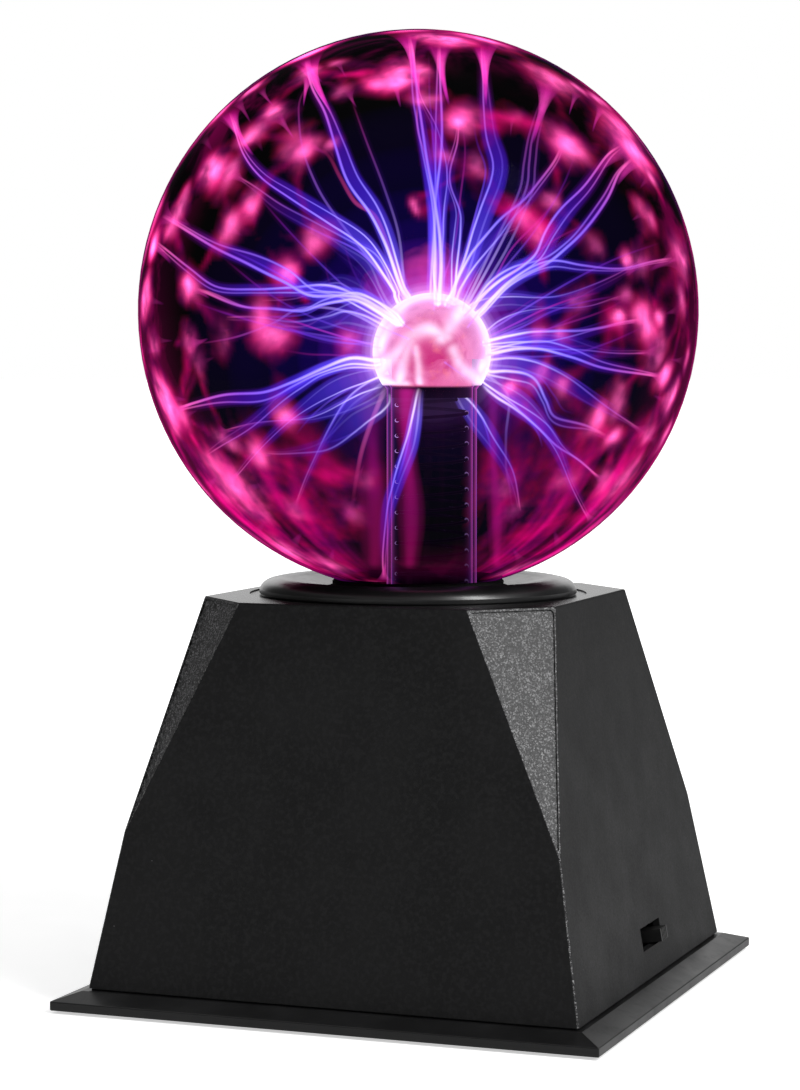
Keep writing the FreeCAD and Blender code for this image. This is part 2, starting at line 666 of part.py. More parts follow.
fx, fy = 0.0, 28.0      # the high-voltage transformer
core_out = box(52.0, 10.0, 33.0, fx - 26.0, fy - 5.0, comp_z + 14.4)
core_in = box(32.0, 12.0, 13.0, fx - 16.0, fy - 6.0, comp_z + 24.4)
node(cut(core_out, core_in), "transformer_core")
along_x = Rotation(Vector(0, 1, 0), 90)
coil_body = fuse(cyl(14.0, 30.0, fx - 15.0, fy, comp_z + 19.4, along_x), cyl(2.6, 17.0, fx, fy, comp_z + 19.4, Rotation(Vector(1, 0, 0), 90)))
node(cut(coil_body, box(40.0, 10.2, 10.2, fx - 20.0, fy - 5.1, comp_z + 14.3), cyl(1.6, 4.0, fx, fy - 13.5, comp_z + 19.4, Rotation(Vector(1, 0, 0), 90))), "secondary_winding")
node(cut(box(14.0, 16.0, 16.0, fx - 7.0, fy - 8.0, comp_z + 34.4), box(20.0, 10.2, 10.2, fx - 10.0, fy - 5.1, comp_z + 37.3)), "primary_winding")
base_t = fuse(cbox(40.0, 30.0, 4.8, fx, fy, comp_z), *[leg(fx + px, fy + py, 0.4, comp_z + 1.0) for px in (-15.0, -5.0, 5.0, 15.0) for py in (-12.0, 12.0)])
node(cut(base_t, cyl(14.1, 42.0, fx - 21.0, fy, comp_z + 19.4, along_x)), "transformer_base")

hx, hy = -50.0, 28.0    # heat sink and power transistor
fins = [box(12.0, 1.5, 34.0, hx - 12.0, hy + 6.4 * i, comp_z + 0.4) for i in range(7)]
sink = fuse(box(3.0, 39.9, 34.0, hx, hy, comp_z + 0.4), *fins)
node(cut(sink, cyl(pilot_radius, 8.0, hx - 4.0, hy + 20.0, comp_z + 20.0, along_x)), "heat_sink")
tx = hx + 3.0
to220 = fuse(box(1.3, 10.2, 16.0, tx, hy + 14.9, comp_z + 8.0), box(4.4, 10.2, 9.0, tx, hy + 14.9, comp_z + 6.0),
             *[leg(tx + 2.4, hy + 20.0 + d, 0.4, comp_z + 6.5) for d in (-2.54, 0.0, 2.54)])
node(cut(to220, cyl(screw_clear, 6.0, tx - 1.0, hy + 20.0, comp_z + 20.0, along_x)), "power_transistor")
stud = fuse(cyl(pilot_radius - 0.01, 4.2, tx - 2.9, hy + 20.0, comp_z + 20.0, along_x), cyl(head_radius, 2.0, tx + 1.3, hy + 20.0, comp_z + 20.0, along_x))
node(stud, "transistor_screw")


def can(x, y, r, tall):
    """An electrolytic capacitor: a can with a groove near its foot, on two legs."""
    shell = cut(cyl(r, tall, x, y, comp_z + 0.3), cut(cyl(r + 1.0, 0.8, x, y, comp_z + 1.6), cyl(r - 0.4, 3.0, x, y, comp_z)))
    return fuse(shell, leg(x - r * 0.4, y, 0.3, comp_z + 0.5), leg(x + r * 0.4, y, 0.3, comp_z + 0.5))


node(can(38.0, 62.0, 8.0, 21.0), "main_capacitor")
node(group(can(38.0, 44.0, 4.0, 11.0), can(27.5, 48.0, 4.0, 11.0), can(20.0, 70.0, 3.2, 8.0)), "small_capacitors")
node(fuse(cbox(13.0, 6.0, 10.5, -24.0, 66.0, comp_z + 0.3), leg(-28.5, 66.0, 0.35, comp_z + 0.5), leg(-19.5, 66.0, 0.35, comp_z + 0.5)), "film_capacitor")


def resistor(x, y):
    barrel = fuse(cyl(1.2, 6.2, x - 3.1, y, comp_z + 1.6, along_x), cyl(1.4, 1.3, x - 3.1, y, comp_z + 1.6, along_x), cyl(1.4, 1.3, x + 1.8, y, comp_z + 1.6, along_x))
    wire = cyl(0.3, 10.0, x - 5.0, y, comp_z + 1.6, along_x)
    return fuse(barrel, wire, leg(x - 5.0, y, 0.3, comp_z + 1.6), leg(x + 5.0, y, 0.3, comp_z + 1.6), ball(0.3, x - 5.0, y, comp_z + 1.6), ball(0.3, x + 5.0, y, comp_z + 1.6))


node(group(resistor(-36.0, 8.0), resistor(-36.0, 13.0), resistor(-20.0, 4.0), resistor(20.0, 4.0), resistor(34.0, 30.0), resistor(34.0, 35.0)), "resistors")
chip_x, chip_y = 36.0, 21.0
node(fuse(cbox(9.6, 6.4, 3.3, chip_x, chip_y, comp_z + 0.5), *[leg(chip_x - 3.81 + 2.54 * i, chip_y + s * 3.81, 0.28, comp_z + 2.4) for i in range(4) for s in (-1, 1)],
          *[box(0.5, 7.8, 0.5, chip_x - 3.81 + 2.54 * i - 0.25, chip_y - 3.9, comp_z + 2.0) for i in range(4)]), "timer_chip")
node(fuse(cyl(4.85, 6.4, 29.0, 10.0, comp_z + 0.4), cyl(4.4, 0.3, 29.0, 10.0, comp_z + 6.8), leg(27.7, 10.0, 0.3, comp_z + 0.6), leg(30.3, 10.0, 0.3, comp_z + 0.6)), "microphone")
plug_x, plug_y = 50.0, 18.0
node(fuse(cut(cbox(6.0, 10.0, 8.0, plug_x, plug_y, comp_z), box(10.0, 8.0, 5.0, plug_x - 1.4, plug_y - 4.0, comp_z + 1.8)), *[leg(plug_x - 2.0, plug_y + d, 0.32, comp_z + 1.0) for d in (-2.5, 0.0, 2.5)]), "lead_connector")

# ---------------------------------------------------------------- power socket
jack_z = comp_z + jack_axis
back = Rotation(Vector(1, 0, 0), -90)
jack_body = cbox(jack_wide, jack_long, jack_tall, 0.0, jack_face - jack_long / 2, comp_z)
tabs = [leg(0.0, 71.4, 0.6, comp_z + 2.0), leg(0.0, 77.6, 0.6, comp_z + 2.0), leg(-3.6, 74.5, 0.6, comp_z + 2.0)]
tab_room = [cyl(0.6, 3.0, x, y, comp_z - 1.0) for x, y in ((0.0, 71.4), (0.0, 77.6), (-3.6, 74.5))]
node(cut(jack_body, cyl(jack_bore, 10.5, 0.0, jack_face - 10.0, jack_z, back), cyl(jack_root, 6.1, 0.0, jack_face - 16.0, jack_z, back), *tab_room), "jack_body")
node(fuse(cyl(jack_root, 4.2, 0.0, jack_face - 14.2, jack_z, back), cyl(jack_pin, 8.0, 0.0, jack_face - 10.0, jack_z, back), ball(jack_pin, 0.0, jack_face - 2.0, jack_z)), "jack_pin")
node(group(*tabs), "jack_tabs")

# ---------------------------------------------------------------- the board itself
board = cut(cbox(board_x, board_y, board_thick, 0.0, board_mid, board_z),
            *[cyl(screw_clear, 6.0, board_hole_x * sx, board_mid + board_hole_y * sy, board_z - 2.0) for sx in (-1, 1) for sy in (-1, 1)],
            *[cyl(r + 0.15, 6.0, x, y, board_z - 2.0) for x, y, r in leads])
node(board, "circuit_board")
node(group(*[screw(board_hole_x * sx, board_mid + board_hole_y * sy, comp_z, pilot_radius - 0.01, 7.0, up=False) for sx in (-1, 1) for sy in (-1, 1)]), "board_screws")

# ---------------------------------------------------------------- slide switch on the +X wall
# Local frame: x out of the wall, y along it, z up it; x = 0 is the wall's outer face.
front = -(wall.v + post_long)           # front face of the switch's steel frame
sheet_t = 0.8
half_window = knob_travel.v / 2 + knob_wide.v / 2 + 0.4
frame_plate = on_wall(box(sheet_t, 48.0, 12.0), front - sheet_t, -24.0, -6.0)
frame_can = on_wall(box(8.0, 34.0, 12.0), front - sheet_t - 8.0, -17.0, -6.0)
can_room = on_wall(box(8.2, 32.6, 10.6), front - sheet_t - 8.2, -16.3, -5.3)
window = on_wall(box(6.0, half_window * 2, knob_tall + 0.7), front - 3.0, -half_window, -(num(knob_tall) + 0.7) / 2)
ears = [on_wall(cyl(1.1, 4.0, rot=along_n), front - 2.5, s * post_y) for s in (-1, 1)]
node(cut(fuse(frame_plate, frame_can), can_room, window, *ears), "switch_frame")

back_x = front - sheet_t - 8.0
pins = [(py, pz) for py in (-10.65, -3.55, 3.55, 10.65) for pz in (-2.6, 2.6)]
pin_rooms = [on_wall(box(6.0, 2.0, 0.6), back_x - 4.0, py - 1.0, pz - 0.3) for py, pz in pins]
node(cut(on_wall(box(1.6, 34.0, 12.0), back_x - 1.6, -17.0, -6.0), *pin_rooms), "switch_board")
blades = [on_wall(box(7.0, 2.0, 0.6), back_x - 5.4, py - 1.0, pz - 0.3) for py, pz in pins]
node(group(*blades), "switch_terminals")

rest_y = knob_travel.v / 2
slider = on_wall(box(2.4, 12.0, 10.0), front - sheet_t - 0.15 - 2.4, rest_y - 6.0, -5.0)
stalk = on_wall(box(knob_out.v - front + sheet_t + 1.0, knob_wide, knob_tall), front - sheet_t - 1.0, rest_y - knob_wide.v / 2, -knob_tall.v / 2)
grips = [on_wall(box(0.5, 0.7, 6.0), knob_out.v - 0.4, rest_y + d - 0.35, -3.0) for d in (-2.4, -0.8, 0.8, 2.4)]
node(cut(fuse(slider, stalk), *grips), "switch_knob")
bridge_x = front - sheet_t - 0.15 - 2.4
bridge = fuse(on_wall(box(0.5, 8.4, 6.4), bridge_x - 0.5, rest_y - 4.2, -3.2),
              *[on_wall(box(2.9, 8.4, 0.5), bridge_x - 3.4, rest_y - 4.2, pz) for pz in (-3.2, 2.7)])
node(bridge, "switch_contact")

hold = []
for s in (-1, 1):
    hold.append(cut(fuse(on_wall(cyl(0.89, 4.5, rot=along_n), front - sheet_t, s * post_y), on_wall(cyl(1.9, 1.3, rot=along_n), front - sheet_t - 1.3, s * post_y)),
                    on_wall(box(0.6, 2.4, 0.5), front - sheet_t - 1.4, s * post_y - 1.2, -0.25)))
node(group(*hold), "switch_screws")


# ---------------------------------------------------------------- leads held inside the base
def lead_node(label, routes, radius):
    f = doc.addObject("Part::Feature", name_of("Lead"))
    solids = [swept(points, radius, label) for points in routes]
    f.Shape = solids[0] if len(solids) == 1 else Part.makeCompound(solids)
    return node(f, label)


def wall_point(x, y, z):
    return switch_origin + wall_n * x + Vector(0, y, 0) + wall_v * z


tip = back_x - 5.4
routes = []
for i, (py, pz) in enumerate(((-10.65, 2.6), (-3.55, 2.6), (3.55, 2.6))):
    a = wall_point(tip, py, pz)
    end = Vector(plug_x - 1.4 + 0.0, plug_y - 2.5 + 2.5 * i, comp_z.v + 4.2)
    face = Vector(plug_x + 3.0, end.y, end.z)
    routes.append([tuple(a), tuple(a - wall_n * 5.0), (face.x + 5.5, (a.y + face.y) / 2, (a.z + face.z) / 2 + 1.0), tuple(face)])
lead_node("switch_leads", routes, 0.75)
stud_end = num(plug_z) - 7.5
start = Vector(fx, fy - 17.5, comp_z.v + 19.4)
lead_node("electrode_lead", [[(start.x, start.y + 0.5, start.z), (start.x, start.y - 12.0, start.z + 2.0), (stem_x.v - 1.0, stem_y.v - 4.0, start.z + 20.0),
                              (stem_x.v + 1.0, stem_y.v + 1.0, stud_end - 22.0), (stem_x.v, stem_y.v, stud_end - 10.0), (stem_x.v, stem_y.v, stud_end)]], 1.5)

# ---------------------------------------------------------------- check and write
doc.recompute()
bad = [o.Label for o in doc.Objects if "Invalid" in o.State or "Error" in o.State]
assert not bad, "failed objects: %s" % bad
assert len({o.Label for o in nodes}) == len(nodes)
for o in nodes:
    s = o.Shape
    assert not s.isNull() and s.isValid(), o.Label
    assert s.Solids, o.Label
    s.exportStep("parts/%s.step" % o.Label)
    bb = s.BoundBox
    print("%-20s solids %2d  volume %9.1f  x %.1f..%.1f  y %.1f..%.1f  z %.1f..%.1f" % (o.Label, len(s.Solids), s.Volume, bb.XMin, bb.XMax, bb.YMin, bb.YMax, bb.ZMin, bb.ZMax))
print(len(nodes), "nodes")
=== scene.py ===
import math

import bpy
import numpy as np
from mathutils import Matrix, Vector, noise


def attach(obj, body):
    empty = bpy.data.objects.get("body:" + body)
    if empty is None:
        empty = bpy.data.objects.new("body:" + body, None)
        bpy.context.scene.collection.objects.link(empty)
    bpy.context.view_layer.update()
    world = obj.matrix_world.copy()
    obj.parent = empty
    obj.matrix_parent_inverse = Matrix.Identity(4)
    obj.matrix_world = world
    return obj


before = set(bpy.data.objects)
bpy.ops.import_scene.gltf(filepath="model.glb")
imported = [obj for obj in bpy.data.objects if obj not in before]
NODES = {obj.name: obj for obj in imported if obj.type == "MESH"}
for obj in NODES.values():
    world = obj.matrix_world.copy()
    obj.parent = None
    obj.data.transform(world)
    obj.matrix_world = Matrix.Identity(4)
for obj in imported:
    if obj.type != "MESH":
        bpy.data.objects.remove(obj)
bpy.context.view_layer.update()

MM = 0.001
GLOBE = np.array([0.0, 0.0, 0.245])          # centre of the glass globe
DOME = np.array([0.00468, 0.00177, 0.2305])  # centre of the electrode's dome
CENTRE = GLOBE / MM
# SHADE_TINT is a dark smoke tint on the globe's outer surface, painted shade that hides the bright room behind it; GAIN
# raises the gas's glow to make up for it
SHADE_TINT = 0.20          # light that each of the globe's two surfaces lets through
GAIN = 1.0 / (SHADE_TINT * SHADE_TINT)


# ---------------------------------------------------------------- node helpers
class Net:
    def __init__(self, name):
        self.mat = bpy.data.materials.new(name)
        self.mat.use_nodes = True
        self.tree = self.mat.node_tree
        self.tree.nodes.clear()
        self.out = self.tree.nodes.new("ShaderNodeOutputMaterial")

    def node(self, kind, ins=None, **props):
        n = self.tree.nodes.new("ShaderNode" + kind)
        for k, v in props.items():
            setattr(n, k, v)
        for k, v in (ins or {}).items():
            self.put(n.inputs[k], v)
        return n

    def put(self, socket, v):
        if isinstance(v, bpy.types.NodeSocket):
            self.tree.links.new(v, socket)
        elif isinstance(v, (tuple, list)) and socket.type == "RGBA":
            socket.default_value = tuple(v) + (1.0,) * (4 - len(v))
        else:
            socket.default_value = v

    def math(self, op, a, b=0.0, clamp=False, c=None):
        n = self.node("Math", operation=op, use_clamp=clamp)
        self.put(n.inputs[0], a)
        self.put(n.inputs[1], b)
        if c is not None:
            self.put(n.inputs[2], c)
        return n.outputs[0]

    def mix(self, fac, a, b):
        n = self.node("Mix", data_type="RGBA")
        self.put(n.inputs[0], fac)
        self.put(n.inputs[6], a)
        self.put(n.inputs[7], b)
        return n.outputs[2]

    def ramp(self, fac, lo, hi, a=0.0, b=1.0, smooth=True):
        n = self.node("MapRange", interpolation_type="SMOOTHSTEP" if smooth else "LINEAR")
        for i, v in enumerate((fac, lo, hi, a, b)):
            self.put(n.inputs[i], v)
        return n.outputs[0]

    def coords(self, scale=(1, 1, 1)):
        t = self.node("TexCoord").outputs["Object"]
        if scale == (1, 1, 1):
            return t
        m = self.node("Mapping", {"Vector": t, "Scale": scale})
        return m.outputs[0]

    def noise(self, scale, detail=2.0, rough=0.5, vec=None, distortion=0.0):
        n = self.node("TexNoise", {"Scale": scale, "Detail": detail, "Roughness": rough, "Distortion": distortion})
        self.put(n.inputs["Vector"], vec if vec is not None else self.coords())
        return n.outputs[0]

    def cells(self, scale, vec=None, feature="F1"):
        n = self.node("TexVoronoi", {"Scale": scale}, feature=feature)
        self.put(n.inputs["Vector"], vec if vec is not None else self.coords())
        return n

    def bump(self, height, distance, strength=1.0, normal=None):
        n = self.node("Bump", {"Strength": strength, "Distance": distance, "Height": height})
        if normal is not None:
            self.put(n.inputs["Normal"], normal)
        return n.outputs[0]

    def surface(self, socket):
        self.tree.links.new(socket, self.out.inputs["Surface"])
        return self.mat

    def principled(self, **ins):
        names = {"color": "Base Color", "rough": "Roughness", "metal": "Metallic", "normal": "Normal", "spec": "Specular IOR Level",
                 "coat": "Coat Weight", "coat_rough": "Coat Roughness", "emit": "Emission Color", "power": "Emission Strength",
                 "alpha": "Alpha", "sheen": "Sheen Weight", "aniso": "Anisotropic", "ior": "IOR"}
        p = self.node("BsdfPrincipled")
        for k, v in ins.items():
            self.put(p.inputs[names[k]], v)
        return p.outputs[0]


def dress(mat, *names):
    for n in names:
        o = NODES[n]
        o.data.materials.clear()
        o.data.materials.append(mat)


def smooth(obj, angle=None):
    for p in obj.data.polygons:
        p.use_smooth = True


# ---------------------------------------------------------------- plastics
def specks(n, vec, scale, share, size):
    """A few tiny specks: cells whose own random number is high, near their middles."""
    c = n.cells(scale, vec)
    pick = n.node("SeparateColor", {0: c.outputs["Color"]}).outputs[0]
    chosen = n.math("GREATER_THAN", pick, 1.0 - share)
    near = n.ramp(c.outputs["Distance"], size, size * 0.4)
    return n.math("MULTIPLY", chosen, near)


def shell_plastic():
    """Black moulded plastic: a fine even grain, and a coarser sand on the four corner panels whose sparkle is painted
    into the base colour as bright cells (painted glints).
    """
    n = Net("base_plastic")
    at = n.coords()
    normal = n.node("NewGeometry").outputs["True Normal"]
    xyz = n.node("SeparateXYZ", {0: normal})
    both = n.math("MULTIPLY", n.math("ABSOLUTE", xyz.outputs[0]), n.math("ABSOLUTE", xyz.outputs[1]))
    panel = n.ramp(both, 0.22, 0.34)
    fine = n.noise(1500.0, 3.0, 0.6, at)
    soft = n.noise(620.0, 2.0, 0.5, at)
    broad = n.noise(38.0, 3.0, 0.55, at)
    coarse = n.noise(1700.0, 2.0, 0.75, at)
    sand = n.cells(2200.0, at)
    glint = n.node("SeparateColor", {0: sand.outputs["Color"]}).outputs[1]
    dust = specks(n, at, 160.0, 0.10, 0.035)
    grey = n.mix(n.ramp(broad, 0.35, 0.68), (0.0085, 0.0085, 0.0089), (0.0105, 0.0105, 0.0109))
    grey = n.mix(n.ramp(soft, 0.42, 0.68), grey, (0.0140, 0.0140, 0.0145))
    # painted glints: the panels' sand cells are raised towards 0.30 grey in the base colour where their random value is
    # high
    sand_and_painted_sparkle = n.mix(n.math("POWER", glint, 3.5), (0.004, 0.004, 0.0045), (0.30, 0.30, 0.305))
    color = n.mix(panel, grey, sand_and_painted_sparkle)
    color = n.mix(n.math("MULTIPLY", dust, 0.55), color, (0.30, 0.30, 0.31))
    rough = n.math("ADD", n.ramp(broad, 0.3, 0.7, 0.50, 0.60), n.math("MULTIPLY", n.math("SUBTRACT", fine, 0.5), 0.25))
    rough_p = n.math("ADD", 0.34, n.math("MULTIPLY", glint, 0.30))
    rough = n.node("Mix", {0: panel, 2: rough, 3: rough_p}, data_type="FLOAT").outputs[0]
    h1 = n.math("ADD", n.math("MULTIPLY", fine, 0.6), n.math("MULTIPLY", soft, 0.6))
    h2 = n.math("ADD", n.math("MULTIPLY", coarse, 1.3), n.math("MULTIPLY", glint, 0.5))
    h = n.node("Mix", {0: panel, 2: h1, 3: h2}, data_type="FLOAT").outputs[0]
    depth = n.node("Mix", {0: panel, 2: 0.35, 3: 0.8}, data_type="FLOAT").outputs[0]
    b = n.node("Bump", {"Strength": depth, "Distance": 0.00012, "Height": h})
    lid = n.ramp(xyz.outputs[2], 0.9, 0.97)
    rough = n.node("Mix", {0: lid, 2: rough, 3: 0.26}, data_type="FLOAT").outputs[0]
    spec = n.node("Mix", {0: panel, 2: n.ramp(lid, 0.0, 1.0, 0.2, 0.5), 3: 0.42}, data_type="FLOAT").outputs[0]
    return n.surface(n.principled(color=color, rough=rough, normal=b.outputs[0], spec=spec))


def satin_plastic(name, color, rough, grain=0.2, spec=0.5, scale=900.0, coat=0.0):
    n = Net(name)
    at = n.coords()
    fine = n.noise(scale, 3.0, 0.6, at)
    broad = n.noise(45.0, 4.0, 0.6, at)
    wear = n.noise(160.0, 5.0, 0.7, at, 0.4)
    c2 = tuple(min(1.0, v * 1.5 + 0.002) for v in color)
    col = n.mix(n.ramp(broad, 0.35, 0.7), color, c2)
    dust = specks(n, at, 170.0, 0.08, 0.03)
    col = n.mix(n.math("MULTIPLY", dust, 0.5), col, (0.3, 0.3, 0.31))
    r = n.math("ADD", n.ramp(broad, 0.3, 0.7, rough - 0.04, rough + 0.06), n.ramp(wear, 0.5, 0.75, 0.0, 0.08))
    b = n.bump(n.math("ADD", n.math("MULTIPLY", fine, 0.7), n.math("MULTIPLY", broad, 0.4)), 0.0001, grain)
    return n.surface(n.principled(color=col, rough=r, normal=b, spec=spec, coat=coat, coat_rough=0.26))


def rubber(name, color):
    n = Net(name)
    at = n.coords()
    f = n.noise(1300.0, 4.0, 0.7, at)
    d = n.noise(90.0, 4.0, 0.6, at)
    col = n.mix(n.ramp(d, 0.4, 0.7), color, tuple(v * 2.0 + 0.01 for v in color))
    return n.surface(n.principled(color=col, rough=n.ramp(d, 0.3, 0.7, 0.72, 0.9), normal=n.bump(f, 0.00015, 0.5), spec=0.3))


def metal(name, color, rough, stretch=(1, 1, 1), scale=700.0, metallic=1.0):
    n = Net(name)
    at = n.coords(stretch)
    lines = n.noise(scale, 3.0, 0.6, at)
    broad = n.noise(120.0, 4.0, 0.6)
    col = n.mix(n.ramp(broad, 0.35, 0.7), tuple(v * 0.72 for v in color), color)
    r = n.math("ADD", n.ramp(lines, 0.3, 0.7, rough - 0.08, rough + 0.1), n.ramp(broad, 0.55, 0.75, 0.0, 0.12))
    return n.surface(n.principled(color=col, rough=r, metal=metallic, normal=n.bump(lines, 0.00006, 0.35)))


def plain(name, a, b, rough, scale=500.0, grain=0.3, spec=0.5, spots=None):
    n = Net(name)
    at = n.coords()
    broad = n.noise(scale * 0.15, 4.0, 0.6, at)
    fine = n.noise(scale * 2.0, 3.0, 0.6, at)
    col = n.mix(n.ramp(broad, 0.35, 0.68), a, b)
    if spots:
        col = n.mix(specks(n, at, scale, 0.3, 0.25), col, spots)
    return n.surface(n.principled(color=col, rough=n.ramp(fine, 0.3, 0.7, rough - 0.06, rough + 0.08), normal=n.bump(fine, 0.0001, grain), spec=spec))


def tracks(name):
    """A single-sided board: brown laminate with a faint fibre weave and printed pads."""
    n = Net(name)
    at = n.coords()
    w = n.node("TexWave", {"Scale": 900.0, "Distortion": 1.5, "Detail": 2.0}, wave_type="BANDS", bands_direction="DIAGONAL")
    n.put(w.inputs["Vector"], at)
    c = n.cells(240.0, at, "F1")
    pads = n.ramp(c.outputs["Distance"], 0.16, 0.12)
    col = n.mix(n.math("MULTIPLY", w.outputs[1], 0.35), (0.30, 0.17, 0.06), (0.42, 0.27, 0.11))
    col = n.mix(n.math("MULTIPLY", pads, 0.6), col, (0.62, 0.60, 0.55))
    return n.surface(n.principled(color=col, rough=n.ramp(n.noise(400.0, 3.0), 0.3, 0.7, 0.36, 0.5), normal=n.bump(w.outputs[1], 0.00005, 0.3)))


dress(shell_plastic(), "base_shell")
dress(satin_plastic("plate_plastic", (0.006, 0.006, 0.0063), 0.36, 0.22, 0.35), "base_plate", "neck_clamp")
dress(satin_plastic("collar_plastic", (0.0055, 0.0055, 0.006), 0.36, 0.10, 0.35, 700.0, 0.75), "collar_ring")
dress(satin_plastic("knob_plastic", (0.006, 0.006, 0.006), 0.42, 0.3, 0.3), "switch_knob")
dress(satin_plastic("jack_plastic", (0.008, 0.008, 0.008), 0.45, 0.3), "jack_body")
dress(rubber("foot_rubber", (0.012, 0.012, 0.012)), "rubber_feet")
dress(rubber("gasket_rubber", (0.010, 0.010, 0.010)), "globe_gasket", "stem_plug")
dress(plain("sealant", (0.55, 0.55, 0.53), (0.68, 0.68, 0.65), 0.45, 300.0), "neck_sealant")
dress(metal("zinc_steel", (0.62, 0.62, 0.64), 0.32), "base_screws", "clamp_screws", "board_screws", "switch_screws", "transistor_screw")
dress(metal("switch_steel", (0.028, 0.028, 0.03), 0.38, (1, 6, 1), 500.0, 0.6), "switch_frame")
dress(metal("tinned_brass", (0.66, 0.63, 0.56), 0.28), "jack_pin", "jack_tabs", "switch_terminals", "switch_contact")
dress(metal("brass", (0.72, 0.50, 0.22), 0.28), "electrode_terminal")
dress(metal("aluminium", (0.72, 0.73, 0.75), 0.38, (1, 1, 8), 600.0), "heat_sink", "microphone")
dress(plain("ferrite", (0.030, 0.030, 0.032), (0.055, 0.055, 0.058), 0.7, 900.0, 0.6), "transformer_core")
dress(plain("winding_resin", (0.020, 0.020, 0.024), (0.045, 0.045, 0.05), 0.25, 300.0, 0.4), "secondary_winding")
dress(metal("copper_wire", (0.62, 0.25, 0.10), 0.30, (1, 1, 14), 260.0), "primary_winding")
dress(plain("board_plastic", (0.20, 0.11, 0.05), (0.30, 0.18, 0.08), 0.5), "transformer_base", "switch_board")
dress(tracks("circuit_board"), "circuit_board")
dress(plain("chip_plastic", (0.018, 0.018, 0.018), (0.03, 0.03, 0.03), 0.55, 800.0, 0.5), "power_transistor", "timer_chip")
dress(plain("capacitor_sleeve", (0.020, 0.028, 0.10), (0.035, 0.045, 0.16), 0.3), "main_capacitor", "small_capacitors")
dress(plain("film_box", (0.42, 0.05, 0.03), (0.55, 0.09, 0.05), 0.35), "film_capacitor")
dress(plain("resistor_body", (0.60, 0.48, 0.32), (0.74, 0.62, 0.44), 0.4, 500.0, 0.2, 0.5, (0.25, 0.05, 0.03)), "resistors")
dress(plain("connector_plastic", (0.80, 0.79, 0.72), (0.88, 0.87, 0.82), 0.45), "lead_connector")
dress(plain("lead_sleeve", (0.40, 0.03, 0.03), (0.52, 0.05, 0.04), 0.4), "switch_leads", "electrode_lead")
